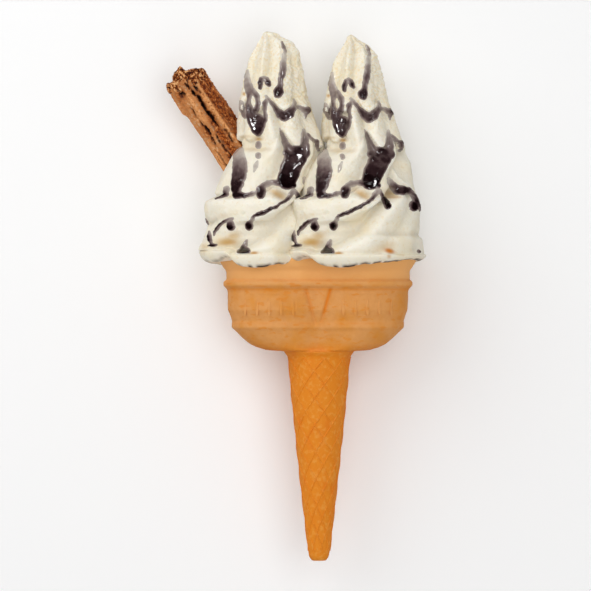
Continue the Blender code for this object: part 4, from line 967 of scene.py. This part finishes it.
def make_wafer():
    """Twin cup and stem as one baked piece, with its bores."""
    cup_levels = np.arange(0.0, CUP_FLOOR, -WAFER_ROW)
    tables = [smooth_table([(s[0], s[k]) for s in CUP_SECTIONS], 0.32) for k in (1, 2, 3)]
    rows = []
    for height in cup_levels:
        width, depth, waist = [float(profile(table, height)) for table in tables]
        x, z, out_x, out_z = cup_outline(width, depth, waist_shape(height, waist))
        relief = 0.07 * noise(x / 0.9, height / 0.9, z / 0.9, 51)
        relief = relief + 0.16 * noise(x / 7.0, height / 5.0, z / 7.0, 52)
        relief = relief + panel_relief(np.abs(x), height, z)
        rows.append(np.stack([x + out_x * relief, np.full_like(x, height), z + out_z * relief], axis=-1))
    shape_x, shape_z, _, _ = cup_outline(*STEM_TURNS, no_waist)
    turn = np.arctan2(shape_z, shape_x)
    stem = smooth_table(STEM_SECTIONS, 0.4)
    last_width, last_depth = float(profile(tables[0], CUP_FLOOR)), float(profile(tables[1], CUP_FLOOR))
    stem_levels = np.concatenate([np.arange(CUP_FLOOR, CUP_FLOOR - 1.0, -0.25),
                                  np.arange(CUP_FLOOR - 1.0, -143.1, -STEM_ROW), [-143.15]])
    for height in stem_levels:
        radius = float(profile(stem, min(height, STEM_TOP)))
        blend = float(smooth_step((CUP_FLOOR - height) / 0.8))
        fillet = 1.2 * math.exp(-((height - STEM_TOP) / 1.6) ** 2) if height < STEM_TOP else 0.0
        round_x, round_z = (radius + fillet) * np.cos(turn), (radius + fillet) * np.sin(turn)
        x, z, _, _ = cup_outline(last_width, last_depth, no_waist)
        x, z = x + (round_x + STEM_CENTRE_X - x) * blend, z + (round_z - z) * blend
        relief = 0.06 * noise(x / 0.9, height / 0.9, z / 0.9, 51)
        relief = relief + 0.12 * noise(x / 5.0, height / 9.0, z / 5.0, 52)
        rows.append(np.stack([x + np.cos(turn) * relief, np.full_like(x, height),
                              z + np.sin(turn) * relief], axis=-1))
    foot = (STEM_CENTRE_X, STEM_SECTIONS[-1][0] - 0.25, 0.0)
    item = loft("wafer", np.array(rows), (0.0, 0.0, 0.0), foot)
    for side in (-1.0, 1.0):
        cut_bore(item, side)
    points = np.array([vertex.co for vertex in item.data.vertices]) / MM
    x, heights, shown = points[:, 0] - AXIS_X / MM, points[:, 1] - RIM_Y / MM, points[:, 2] > AXIS_Z / MM
    # Painted shade along the creases, stronger on the right one, and along two level lines at the beads;
    # toasting in patches on the bead
    share = np.clip((heights - CREASE_TOP[0]) / (CREASE_LOW[0] - CREASE_TOP[0]), -0.02, 1.1)
    line = CREASE_TOP[1] + (CREASE_LOW[1] - CREASE_TOP[1]) * share
    toast_and_crease_shade = np.where(x > 0.0, 1.0, 0.45) * np.exp(-((np.abs(x) - line) / 0.7) ** 2)
    toast_and_crease_shade = toast_and_crease_shade * smooth_step(share / 0.08) * smooth_step((0.9 - share) / 0.25)
    toast_and_crease_shade = toast_and_crease_shade + 0.5 * np.exp(-((heights + 15.9) / 0.45) ** 2)
    lower_line = np.exp(-((heights + 31.6) / 0.5) ** 2) * smooth_step(noise(x / 4.0, 0.5, 2.5, 56) + 0.5)
    toast_and_crease_shade = toast_and_crease_shade + 0.4 * lower_line
    patches = smooth_step((noise(x / 3.0, heights / 1.2, 0.5, 55) - 0.3) / 0.4)
    patches = patches * np.exp(-((heights + 13.4) / 1.2) ** 2)
    set_attribute(item, "stem", smooth_step((-39.0 - heights) / 8.0))
    # Painted light on the cup's band under the rim, where the cream's skirt casts shade
    set_attribute(item, "pale", 0.85 * smooth_step((heights + 16.0) / 8.0))
    set_attribute(item, "toast_and_crease_shade", np.clip(toast_and_crease_shade + 0.6 * patches, 0.0, 1.0) * shown)
    return item


def cut_bore(item, side):
    """Take the round inside of one cup out of the wafer."""
    turn = 2.0 * math.pi * np.arange(BORE_COLUMNS) / BORE_COLUMNS
    rings = [np.stack([side * BORE_CENTRE_X + out * np.cos(turn), np.full_like(turn, level),
                       out * np.sin(turn)], axis=-1) for level, out in BORE]
    cutter = loft("bore", np.array(rings), (side * BORE_CENTRE_X, BORE[0][0] + 0.1, 0.0),
                  (side * BORE_CENTRE_X, BORE[-1][0] - 0.1, 0.0))
    modifier = item.modifiers.new("Bore", "BOOLEAN")
    modifier.operation = "DIFFERENCE"
    modifier.solver = "MANIFOLD"
    modifier.object = cutter
    apply_modifiers(item)
    bpy.data.objects.remove(cutter, do_unlink=True)


def apply_modifiers(item):
    """Turn an object's modifiers into plain mesh."""
    graph = bpy.context.evaluated_depsgraph_get()
    graph.update()
    finished = bpy.data.meshes.new_from_object(item.evaluated_get(graph))
    item.modifiers.clear()
    item.data = finished


def segment_field(across, along, lines, power=3.0):
    """Strongest of several tapering lines at points of the bar's shown side."""
    field = np.zeros_like(across)
    for line in lines:
        for start, end in zip(line, line[1:]):
            share, gap = along_step(across, along, start, end)
            width = start[2] + (end[2] - start[2]) * share
            depth = start[3] + (end[3] - start[3]) * share
            field = np.maximum(field, depth * np.exp(-((gap / width) ** power)))
    return field


def make_bar():
    """The flaked bar: a rolled-up ragged block with lengthwise cracks and a crumbly broken upper end."""
    turns = 2.0 * math.pi * np.arange(BAR_COLUMNS) / BAR_COLUMNS
    shares = np.concatenate([-np.linspace(0.97, 0.0, BAR_CAP_ROWS, endpoint=False),
                             np.linspace(0.0, 1.0, BAR_ROWS)])
    turn, share = np.meshgrid(turns, shares)
    rolled = turn - BAR_ROLL
    power = BAR_SQUARENESS
    flat = np.abs(np.cos(rolled)) ** power / (BAR_WIDTH / 2.0) ** power
    high = np.abs(np.sin(rolled)) ** power / (BAR_THICKNESS / 2.0) ** power
    size = (flat + high) ** (-1.0 / power)
    across, out = size * np.cos(turn), size * np.sin(turn)
    places, starts = zip(*BAR_TOP_EDGE)
    start = np.interp(across, places, starts)
    run = start + (BAR_LENGTH - start) * np.maximum(share, 0.0)
    fuller = np.where(across < 0.0, np.interp(run, *zip(*BAR_LEFT)), np.interp(run, *zip(*BAR_RIGHT)))
    size = size * (1.0 + fuller * np.cos(turn) ** 2)
    across, out = size * np.cos(turn), size * np.sin(turn)
    # Flakes run along the bar; cracks, ridges and hollows follow their lines, a little warped
    sway = 0.6 * noise(run / 14.0, 0.5, 0.5, 61)
    flakes = noise((across + sway) / 2.0, out / 2.0, run / 17.0, 62)
    fine = noise((across + sway) / 0.8, out / 0.8, run / 6.0, 63)
    grain = noise(across / 0.7, out / 0.7, run / 0.9, 64)
    shown = smooth_step(np.sin(turn) / 0.12 + 0.5)
    warp_x = 0.4 * noise(across / 1.4, run / 1.6, 0.5, 65) + 0.42 * noise(across / 0.6, run / 0.7, 0.5, 75)
    warp_y = 0.9 * noise(across / 1.3, run / 2.4, 9.5, 65)
    crack = segment_field(across + warp_x, run + warp_y, BAR_CRACKS) * shown
    crack = crack * np.clip(0.8 + 0.8 * noise(across / 0.9, run / 1.3, 3.5, 76), 0.15, 1.3)
    ridge = segment_field(across + 0.6 * warp_x, run, BAR_RIDGES) * shown
    hollow = segment_field(across + warp_x, run, BAR_HOLLOW, 2.0) * shown
    face_line = np.interp(run, *zip(*BAR_FACE_LINE))
    shaded_face = smooth_step((across - face_line - 0.8 * warp_x) / 0.8) * shown
    # Broken upper end, rows of dots, and pits on the shaded right face; dots and pits are painted dark as
    # shade
    reach = np.interp(across, (-10.0, -2.0, 3.0, 9.0), (5.0, 7.0, 9.0, 6.0))
    broken = smooth_step((reach + 3.0 * noise(across / 1.2, out / 1.2, run / 1.2, 70) - (run - start)) / 3.0)
    dots = np.clip(noise(across / 0.5, run / 0.7, 0.5, 72) - 0.35, 0.0, 1.0) * shown
    dots = dots * segment_field(across, run, BAR_DOTTED, 2.0)
    pits = np.clip(noise(across / 0.9, out / 0.9, run / 1.3, 66) - 0.45, 0.0, 1.0) * shaded_face
    crumbly = noise(across / 1.0, out / 1.0, run / 1.0, 71) * np.maximum(broken, 0.35 * shaded_face)
    behind = (1.0 - shown) * np.clip(-flakes - 0.2, 0.0, 1.0) * 2.4
    relief = 0.32 * flakes + 0.16 * fine + 0.12 * grain + ridge - hollow - crack - 0.9 * pits - dots - behind
    relief = relief + 0.4 * crumbly
    inner = np.clip(1.0 + share, 0.02, 1.0)
    size = (size + relief) * np.where(share < 0.0, inner, 1.0)
    across, out = size * np.cos(turn), size * np.sin(turn)
    # Torn edge of the upper end
    torn = np.interp(across, places, starts)
    torn = torn + 0.55 * noise(across / 1.5, out / 1.5, 0.5, 67)
    torn = torn + 0.4 * noise(across / 0.65, out / 0.65, 0.5, 68)
    torn = torn - 0.9 * np.abs(noise(across / 3.0, out / 2.2, 4.5, 69))
    along = torn + (BAR_LENGTH - torn) * np.maximum(share, 0.0)
    origin, down, side, front = bar_frame()
    grid = origin + along[..., None] * down + across[..., None] * side + out[..., None] * front
    first = origin + down * float(np.interp(0.0, places, starts))
    item = loft("bar", grid, tuple(first), tuple(origin + down * (BAR_LENGTH + 0.4)))
    # Values for the colour: tan to brown in random tone, with painted shade on the right face, in hollows and
    # beside cracks and painted light on ridges; painted shade in cracks, pits and dots; broken end; and where
    # crumbs lie
    halo = segment_field(across + warp_x, run + warp_y, BAR_CRACKS, 0.8) * shown
    tone_light_and_shade = 0.22 - 0.3 * flakes - 0.2 * fine + 0.75 * shaded_face + 0.6 * hollow - 0.25 * ridge + 0.75 * halo
    tone_light_and_shade = np.clip(tone_light_and_shade, 0.0, 1.0)
    # Painted shade in cracks, pits and dots
    groove = np.clip(crack / 0.8 + 1.3 * pits + 2.0 * dots - 0.15, 0.0, 1.0)
    end = np.where(share < 0.0, 1.0, broken)
    above = smooth_step((42.0 - along) / 6.0)
    loose = np.clip(end + 0.05 + 0.22 * shaded_face, 0.0, 1.0) * above
    for name, values, fill in (("tone_light_and_shade", tone_light_and_shade, 0.5), ("groove", groove, 0.0), ("end", end, 1.0),
                               ("crumbly", loose, 1.0)):
        set_attribute(item, name, np.concatenate([[fill], values.ravel(), [0.0]]))
    return item


def bar_frame():
    """Middle of the bar's upper end, and its directions down the bar, to the right and to the viewer."""
    down = np.array([BAR_DIRECTION[0], BAR_DIRECTION[1], BAR_DEPTH_SLOPE])
    down = down / np.linalg.norm(down)
    side = np.cross([0.0, 0.0, 1.0], down)
    side = side / np.linalg.norm(side)
    return np.array([BAR_TOP[0], BAR_TOP[1], BAR_DEPTH_AT_TOP]), down, side, np.cross(down, side)


def node_tree(name, sockets):
    """Geometry node tree with its named inputs; returns the tree and the node that holds them."""
    tree = bpy.data.node_groups.new(name, "GeometryNodeTree")
    for label, kind in sockets:
        tree.interface.new_socket(name=label, in_out="INPUT", socket_type="NodeSocket" + kind)
    tree.interface.new_socket(name="Geometry", in_out="OUTPUT", socket_type="NodeSocketGeometry")
    return tree, tree.nodes.new("NodeGroupInput").outputs


def close_tree(tree, geometry, material):
    """Last nodes of a tree: plain mesh with its material."""
    real = add_node(tree, "GeometryNodeRealizeInstances", {"Geometry": geometry}).outputs[0]
    done = add_node(tree, "GeometryNodeSetMaterial", {"Geometry": real, "Material": material}).outputs[0]
    tree.links.new(done, tree.nodes.new("NodeGroupOutput").inputs["Geometry"])


def grow(name, tree, values):
    """Run a tree with its inputs set, and keep the result as a plain mesh."""
    host = bpy.data.objects.new(name, bpy.data.meshes.new(name))
    bpy.context.scene.collection.objects.link(host)
    modifier = host.modifiers.new("Grow", "NODES")
    modifier.node_group = tree
    for entry in tree.interface.items_tree:
        if entry.in_out == "INPUT":
            modifier[entry.identifier] = values[entry.name]
    apply_modifiers(host)
    host.data.name = name
    return host


def math_node(tree, kind, first, second):
    """Result of one operation on two numbers or sockets."""
    return add_node(tree, "ShaderNodeMath", {0: first, 1: second}, operation=kind).outputs["Value"]


def make_lattice(wafer, material):
    """Low diagonal ribs around the stem, winding both ways and lying on its surface."""
    tree, given = node_tree("stem_lattice", [
        ("Wafer", "Object"), ("Ribs", "Int"), ("Turns", "Float"), ("Top Radius", "Float"),
        ("Tip Radius", "Float"), ("Length", "Float"), ("Top", "Vector"), ("Rib Radius", "Float"),
        ("Material", "Material")])
    spirals = [add_node(tree, "GeometryNodeCurveSpiral", {
        "Resolution": LATTICE_STEPS, "Rotations": given["Turns"], "Start Radius": given["Top Radius"],
        "End Radius": given["Tip Radius"], "Height": given["Length"], "Reverse": backward}).outputs[0]
        for backward in (False, True)]
    pair = tree.nodes.new("GeometryNodeJoinGeometry")
    for spiral in spirals:
        tree.links.new(spiral, pair.inputs[0])
    spots = add_node(tree, "GeometryNodeMeshLine", {"Count": given["Ribs"],
                                                    "Offset": (0.0, 0.0, 0.0)}).outputs[0]
    number = add_node(tree, "GeometryNodeInputIndex").outputs[0]
    part = math_node(tree, "DIVIDE", 2.0 * math.pi, given["Ribs"])
    turn = add_node(tree, "ShaderNodeCombineXYZ", {"Z": math_node(tree, "MULTIPLY", number, part)}).outputs[0]
    ribs = add_node(tree, "GeometryNodeInstanceOnPoints", {"Points": spots, "Instance": pair.outputs[0],
                                                           "Rotation": turn}).outputs[0]
    ribs = add_node(tree, "GeometryNodeRealizeInstances", {"Geometry": ribs}).outputs[0]
    ribs = add_node(tree, "GeometryNodeTransform", {"Geometry": ribs, "Translation": given["Top"],
                                                    "Rotation": (0.5 * math.pi, 0.0, 0.0)}).outputs[0]
    surface = add_node(tree, "GeometryNodeObjectInfo", {"Object": given["Wafer"]}).outputs["Geometry"]
    near = add_node(tree, "GeometryNodeProximity", {0: surface}, target_element="FACES").outputs["Position"]
    ribs = add_node(tree, "GeometryNodeSetPosition", {"Geometry": ribs, "Position": near}).outputs[0]
    section = add_node(tree, "GeometryNodeCurvePrimitiveCircle", {"Resolution": RIB_SIDES,
                                                                  "Radius": given["Rib Radius"]}).outputs[0]
    ribs = add_node(tree, "GeometryNodeCurveToMesh", {"Curve": ribs, "Profile Curve": section,
                                                      "Fill Caps": True}).outputs[0]
    close_tree(tree, ribs, given["Material"])
    top = row_frame((STEM_CENTRE_X, LATTICE_TOP, 0.0))
    lattice = grow("stem_lattice", tree, {
        "Wafer": wafer, "Ribs": LATTICE_RIBS, "Turns": LATTICE_TURNS,
        "Top Radius": LATTICE_TOP_RADIUS * MM, "Tip Radius": LATTICE_TIP_RADIUS * MM,
        "Length": LATTICE_LENGTH * MM, "Top": tuple(top), "Rib Radius": RIB_RADIUS * MM,
        "Material": material})
    set_attribute(lattice, "stem", np.ones(len(lattice.data.vertices)))
    return lattice


def make_lozenges(wafer, material):
    """A row of low upright lozenges on the wall of each cup, standing on its surface."""
    tree, given = node_tree("cup_lozenges", [
        ("Wafer", "Object"), ("Count", "Int"), ("Start", "Vector"), ("Other Start", "Vector"),
        ("Spacing", "Vector"), ("Size", "Vector"), ("Material", "Material")])
    rows = tree.nodes.new("GeometryNodeJoinGeometry")
    for start in ("Start", "Other Start"):
        line = add_node(tree, "GeometryNodeMeshLine", {
            "Count": given["Count"], "Start Location": given[start], "Offset": given["Spacing"]}).outputs[0]
        tree.links.new(line, rows.inputs[0])
    surface = add_node(tree, "GeometryNodeObjectInfo", {"Object": given["Wafer"]}).outputs["Geometry"]
    ray = add_node(tree, "GeometryNodeRaycast", {
        "Target Geometry": surface, "Ray Direction": (0.0, 0.0, -1.0), "Ray Length": 1.0})
    held = add_node(tree, "GeometryNodeStoreNamedAttribute", {
        "Geometry": rows.outputs[0], "Name": "outward", "Value": ray.outputs["Hit Normal"]},
        data_type="FLOAT_VECTOR", domain="POINT").outputs[0]
    landed = add_node(tree, "GeometryNodeSetPosition", {"Geometry": held,
                                                        "Position": ray.outputs["Hit Position"]}).outputs[0]
    outward = add_node(tree, "GeometryNodeInputNamedAttribute", {"Name": "outward"},
                       data_type="FLOAT_VECTOR").outputs["Attribute"]
    upright = add_node(tree, "FunctionNodeAlignRotationToVector", {"Vector": outward}, axis="Z").outputs[0]
    shape = add_node(tree, "GeometryNodeMeshIcoSphere", {"Radius": 1.0, "Subdivisions": 4}).outputs[0]
    shapes = add_node(tree, "GeometryNodeInstanceOnPoints", {
        "Points": landed, "Instance": shape, "Rotation": upright, "Scale": given["Size"]}).outputs[0]
    close_tree(tree, shapes, given["Material"])
    starts = [tuple(row_frame((x, LOZENGE_HEIGHT, LOZENGE_DROP))) for x in LOZENGE_STARTS]
    return grow("cup_lozenges", tree, {
        "Wafer": wafer, "Count": LOZENGE_COUNT, "Start": starts[0], "Other Start": starts[1],
        "Spacing": (LOZENGE_SPACING * MM, 0.0, 0.0), "Size": tuple(value * MM for value in LOZENGE_SIZE),
        "Material": material})


def make_crumbs(bar, material):
    """Loose crumbs sitting on the upper part of the bar, thickest at its broken upper end, with a few more on
    its right face.
    """
    tree, given = node_tree("bar_crumbs", [("Bar", "Object"), ("Density", "Float"), ("Smallest", "Float"),
                                           ("Largest", "Float"), ("Seed", "Int"), ("Material", "Material")])
    surface = add_node(tree, "GeometryNodeObjectInfo", {"Object": given["Bar"]}).outputs["Geometry"]
    thick = add_node(tree, "GeometryNodeInputNamedAttribute", {"Name": "crumbly"}, data_type="FLOAT")
    density = math_node(tree, "MULTIPLY", thick.outputs["Attribute"], given["Density"])
    spots = add_node(tree, "GeometryNodeDistributePointsOnFaces", {
        "Mesh": surface, "Density": density, "Seed": given["Seed"]})
    size = add_node(tree, "FunctionNodeRandomValue", {
        "Min_001": given["Smallest"], "Max_001": given["Largest"], "Seed": given["Seed"]}, data_type="FLOAT")
    shape = add_node(tree, "GeometryNodeMeshIcoSphere", {"Radius": 1.0, "Subdivisions": 1}).outputs[0]
    crumbs = add_node(tree, "GeometryNodeInstanceOnPoints", {
        "Points": spots.outputs["Points"], "Instance": shape, "Rotation": spots.outputs["Rotation"],
        "Scale": find_socket(size.outputs, "Value_001")}).outputs[0]
    close_tree(tree, crumbs, given["Material"])
    return grow("bar_crumbs", tree, {"Bar": bar, "Density": CRUMB_DENSITY, "Smallest": CRUMB_SMALLEST * MM,
                                     "Largest": CRUMB_LARGEST * MM, "Seed": CRUMB_SEED,
                                     "Material": material})


def linear(code):
    """Linear colour of an sRGB hex code."""
    values = [int(code[place: place + 2], 16) / 255.0 for place in (1, 3, 5)]
    return tuple(v / 12.92 if v <= 0.04045 else ((v + 0.055) / 1.055) ** 2.4 for v in values) + (1.0,)


def add_node(tree, kind, inputs=None, **settings):
    """New node with its settings; inputs by name, number or identifier take a value or a socket."""
    node = tree.nodes.new(kind)
    for key, value in settings.items():
        setattr(node, key, value)
    for key, value in (inputs or {}).items():
        socket = node.inputs[key] if isinstance(key, int) else find_socket(node.inputs, key)
        if isinstance(value, bpy.types.NodeSocket):
            tree.links.new(value, socket)
        else:
            socket.default_value = value
    return node


def find_socket(sockets, key):
    """Socket with that identifier, or else with that name."""
    for socket in sockets:
        if socket.identifier == key:
            return socket
    return sockets[key]


def mixed(tree, share, first, second):
    """Colour between two colours or colour sockets."""
    node = add_node(tree, "ShaderNodeMix", {"Factor_Float": share, "A_Color": first, "B_Color": second},
                    data_type="RGBA")
    return find_socket(node.outputs, "Result_Color")


def ranged(tree, value, low, high, to_low=0.0, to_high=1.0):
    """Value taken from one range to another, held at the ends."""
    return add_node(tree, "ShaderNodeMapRange", {
        "Value": value, "From Min": low, "From Max": high, "To Min": to_low,
        "To Max": to_high}).outputs["Result"]


def attribute(tree, name):
    """Number stored on the mesh."""
    return add_node(tree, "ShaderNodeAttribute", attribute_name=name).outputs["Fac"]


def texture(tree, size, detail=3.0, stretch=(1.0, 1.0, 1.0), roughness=0.5):
    """Noise whose cells are about so many millimetres wide, in object space."""
    place = add_node(tree, "ShaderNodeTexCoord").outputs["Object"]
    scaled = add_node(tree, "ShaderNodeMapping", {"Vector": place, "Scale": stretch}).outputs["Vector"]
    return add_node(tree, "ShaderNodeTexNoise", {
        "Vector": scaled, "Scale": 1.0 / (size * MM), "Detail": detail,
        "Roughness": roughness}).outputs["Fac"]


def new_material(name):
    """Material with its tree and shader."""
    material = bpy.data.materials.new(name)
    material.use_nodes = True
    tree = material.node_tree
    return material, tree, tree.nodes["Principled BSDF"]


def set_gloss(shader, roughness, specular):
    """How rough a surface is and how strongly it mirrors."""
    shader.inputs["Roughness"].default_value = roughness
    shader.inputs["Specular IOR Level"].default_value = specular


def set_bump(tree, shader, height, distance, strength=1.0):
    """Fine relief on a shader, so many millimetres deep."""
    node = add_node(tree, "ShaderNodeBump", {
        "Height": height, "Distance": distance * MM, "Strength": strength})
    tree.links.new(node.outputs["Normal"], shader.inputs["Normal"])


def cream_material():
    """Soft-serve cream, frozen as it left the nozzle: ivory, with painted light on ridges, painted shade,
    greyer, in hollows and a painted shadow line in the skirt's gap over the wafer, with a satin sheen, a
    little light in its depth and ochre stains. Its ice grain is far finer than the picture shows, so it is
    drawn 0.9 mm wide."""
    material, tree, shader = new_material("soft_serve_cream")
    base = mixed(tree, texture(tree, 9.0, 2.0), linear("#F4EDDC"), linear("#EFE7D2"))
    ridge_light_hollow_shade = attribute(tree, "ridge_light_hollow_shade")
    # Painted shade, greyer, in hollows, then painted light on ridges
    base = mixed(tree, ranged(tree, ridge_light_hollow_shade, 0.0, -0.9, 0.0, 0.5), base, linear("#CFC6B2"))
    base = mixed(tree, ranged(tree, ridge_light_hollow_shade, 0.05, 0.8, 0.0, 0.65), base, linear("#F9F5E8"))
    warm = ranged(tree, texture(tree, 14.0, 2.0), 0.52, 0.66, 0.0, 0.4)
    base = mixed(tree, warm, base, linear("#F3E4BF"))
    spots = ranged(tree, texture(tree, 1.6, 2.0), 0.58, 0.7, 0.0, 0.3)
    base = mixed(tree, spots, base, linear("#E6CC96"))
    mottles = ranged(tree, texture(tree, 1.1, 2.0), 0.5, 0.64, 0.0, 0.5)
    mottles = math_node(tree, "MULTIPLY", mottles, attribute(tree, "upper"))
    base = mixed(tree, mottles, base, linear("#E9CF98"))
    base = mixed(tree, attribute(tree, "stain"), base, linear("#BC8E26"))
    base = mixed(tree, attribute(tree, "streak"), base, linear("#C66A00"))
    # Painted shadow in the skirt's gap over the wafer
    base = mixed(tree, attribute(tree, "gap"), base, linear("#2E1A12"))
    tree.links.new(base, shader.inputs["Base Color"])
    set_gloss(shader, 0.58, 0.2)
    shader.inputs["Subsurface Weight"].default_value = 0.15
    shader.inputs["Subsurface Radius"].default_value = (1.0, 0.75, 0.5)
    shader.inputs["Subsurface Scale"].default_value = 0.0015
    set_bump(tree, shader, texture(tree, 0.9, 3.0), 0.2, 0.8)
    return material


def sauce_material():
    """Dark chocolate sauce, poured: wet and glossy, near black where it is deep, and brown-grey where it is
    so thin that the cream shows through. The patchiness is about 3 mm wide."""
    material, tree, shader = new_material("dark_sauce")
    dark = attribute(tree, "dark")
    deep = attribute(tree, "deep")
    body = math_node(tree, "MULTIPLY", ranged(tree, deep, 0.0, 1.0, 0.35, 1.0), dark)
    uneven = ranged(tree, texture(tree, 3.0, 2.0), 0.3, 0.7, -0.08, 0.08)
    body = math_node(tree, "ADD", body, uneven)
    color = mixed(tree, ranged(tree, body, 0.0, 0.3), linear("#CFC6BA"), linear("#9A8C85"))
    color = mixed(tree, ranged(tree, body, 0.3, 0.58), color, linear("#635150"))
    color = mixed(tree, ranged(tree, body, 0.58, 0.8), color, linear("#2E1E20"))
    color = mixed(tree, ranged(tree, body, 0.8, 1.0), color, linear("#100506"))
    tree.links.new(color, shader.inputs["Base Color"])
    set_gloss(shader, 0.11, 0.3)
    return material


def wafer_material():
    """Baked wafer, pressed in a mould: dry and dull, tan on the cups with orange patches of 4 to 11 mm from
    toasting, painted light on the band under the rim where the cream casts shade, painted shade along the
    creases and bead lines, and deeper orange on the stem. Its pores are drawn 0.7 mm wide, coarser than real
    ones, to show."""
    material, tree, shader = new_material("baked_wafer")
    broad = ranged(tree, texture(tree, 11.0, 3.0), 0.42, 0.66)
    cup = mixed(tree, broad, linear("#DF9C57"), linear("#DC8F36"))
    cup = mixed(tree, ranged(tree, texture(tree, 2.2, 2.0), 0.35, 0.75, 0.0, 0.4), cup, linear("#D38C4A"))
    patch = ranged(tree, texture(tree, 4.5, 2.0, (1.0, 2.2, 1.0)), 0.58, 0.68, 0.0, 0.6)
    cup = mixed(tree, patch, cup, linear("#DC8420"))
    # Painted light on the cup's band under the rim, where the cream's skirt casts shade
    cup = mixed(tree, attribute(tree, "pale"), cup, linear("#F5B670"))
    # Painted shade along the creases and bead lines, with toasting in patches on the bead
    cup = mixed(tree, attribute(tree, "toast_and_crease_shade"), cup, linear("#DE7F18"))
    stem = mixed(tree, texture(tree, 3.0, 3.0, (1.0, 0.4, 1.0)), linear("#E37F10"), linear("#E78E20"))
    stem = mixed(tree, ranged(tree, texture(tree, 2.0, 3.0), 0.52, 0.66, 0.0, 0.4), stem, linear("#EEAC50"))
    stem = mixed(tree, ranged(tree, texture(tree, 7.0, 2.0, (1.0, 0.5, 1.0)), 0.55, 0.7, 0.0, 0.5), stem,
                 linear("#E3770E"))
    color = mixed(tree, attribute(tree, "stem"), cup, stem)
    tree.links.new(color, shader.inputs["Base Color"])
    set_gloss(shader, 0.7, 0.25)
    pores = texture(tree, 0.7, 3.0)
    set_bump(tree, shader, pores, 0.12, 0.8)
    return material


def chocolate_material():
    """Flaked chocolate, folded in thin sheets: dull tan, with painted shade darkening its right side, its
    hollows and the edges of its cracks and painted light on its ridges, grainy on its side, speckled at its
    broken end, and painted near black as shade in its cracks and pits. The crumb speck is drawn 1.6 mm wide,
    coarser than the real one, to show."""
    material, tree, shader = new_material("flaked_chocolate")
    speck = texture(tree, 1.6, 2.0, roughness=0.75)
    # Lit copy of the chocolate colour, for the left face and the ridges
    light = mixed(tree, texture(tree, 2.2, 3.0), linear("#EDAC70"), linear("#CC8448"))
    light = mixed(tree, ranged(tree, speck, 0.56, 0.62, 0.0, 0.75), light, linear("#8A4214"))
    light = mixed(tree, ranged(tree, speck, 0.42, 0.36, 0.0, 0.7), light, linear("#F7CC9C"))
    # Shaded copy of the chocolate colour: painted shade for the right face, the hollows and the crack edges
    dark = mixed(tree, ranged(tree, speck, 0.42, 0.56), linear("#5E2204"), linear("#AC5A20"))
    dark = mixed(tree, ranged(tree, speck, 0.6, 0.66), dark, linear("#DC9A5C"))
    color = mixed(tree, attribute(tree, "tone_light_and_shade"), light, dark)
    crumb = mixed(tree, ranged(tree, speck, 0.43, 0.52), linear("#421404"), linear("#AC5C22"))
    crumb = mixed(tree, ranged(tree, speck, 0.54, 0.59), crumb, linear("#F2C084"))
    color = mixed(tree, ranged(tree, attribute(tree, "end"), 0.1, 0.9), color, crumb)
    # Painted shade, near black, in cracks, pits and dots
    color = mixed(tree, attribute(tree, "groove"), color, linear("#1C0904"))
    tree.links.new(color, shader.inputs["Base Color"])
    set_gloss(shader, 0.7, 0.15)
    set_bump(tree, shader, speck, 0.35, 1.0)
    return material


def floor_material():
    """Matt white paper, with no gloss at all."""
    material, _, shader = new_material("paper_floor")
    shader.inputs["Base Color"].default_value = linear("#FFFFFF")
    set_gloss(shader, 0.9, 0.0)
    return material


def finish_piece(item, material, slot, *nodes):
    """Give a piece its material and its body, and hide the imported parts that it stands for. The slot is not
    used.
    """
    item.data.materials.clear()
    item.data.materials.append(material)
    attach(item, "root")
    if nodes:
        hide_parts(*nodes)


def add_area_light(name, place, side, power, glint):
    """Square light aimed at the cone; a glint shows in gloss alone, a soft light in all but gloss."""
    light = bpy.data.lights.new(name, "AREA")
    light.energy = power
    light.size = side
    item = bpy.data.objects.new(name, light)
    item.location = place
    item.rotation_euler = (Vector(LIGHT_TARGET) - Vector(place)).to_track_quat("-Z", "Y").to_euler()
    item.visible_glossy = glint
    item.visible_diffuse = not glint
    bpy.context.scene.collection.objects.link(item)


def set_stage():
    """Floor, lights, pale surroundings and camera; the gloss mirrors neither floor nor surroundings."""
    scene = bpy.context.scene
    bpy.ops.mesh.primitive_plane_add(size=FLOOR_SIDE, location=(0.0, 0.0, 0.0))
    floor = bpy.context.active_object
    floor.name = "floor"
    floor.data.materials.append(floor_material())
    floor.visible_glossy = False
    world = bpy.data.worlds.new("studio")
    world.use_nodes = True
    world.node_tree.nodes["Background"].inputs["Color"].default_value = linear("#FFFFFF")
    world.node_tree.nodes["Background"].inputs["Strength"].default_value = WORLD_LIGHT
    world.cycles_visibility.glossy = False
    scene.world = world
    for lights, glint in ((SOFT_LIGHTS, False), (GLINT_LIGHTS, True)):
        for light in lights:
            add_area_light(*light, glint)
    camera = bpy.data.cameras.new("camera")
    camera.lens = LENS
    camera.sensor_width = SENSOR
    camera.clip_end = 10.0
    item = bpy.data.objects.new("camera", camera)
    distance = LENS / SENSOR * PICTURE_WIDTH
    item.location = (PICTURE_CENTRE[0] * MM, PICTURE_CENTRE[1] * MM, AXIS_Z + distance * MM)
    scene.collection.objects.link(item)
    scene.camera = item
    scene.view_settings.view_transform = "Standard"


def main():
    cream = cream_material()
    sauce = sauce_material()
    wafer = wafer_material()
    chocolate = chocolate_material()
    cone = make_wafer()
    finish_piece(make_lattice(cone, wafer), wafer, "wafer")
    finish_piece(make_lozenges(cone, wafer), wafer, "wafer")
    finish_piece(cone, wafer, "wafer", "wafer_cone")
    for side in ("left", "right"):
        finish_piece(make_cream(side), cream, "cream", "swirl_" + side)
        finish_piece(make_sauce(side), sauce, "cream")
    bar = make_bar()
    finish_piece(make_crumbs(bar, chocolate), chocolate, "chocolate")
    finish_piece(bar, chocolate, "chocolate", "chocolate_bar")
    set_stage()


main()
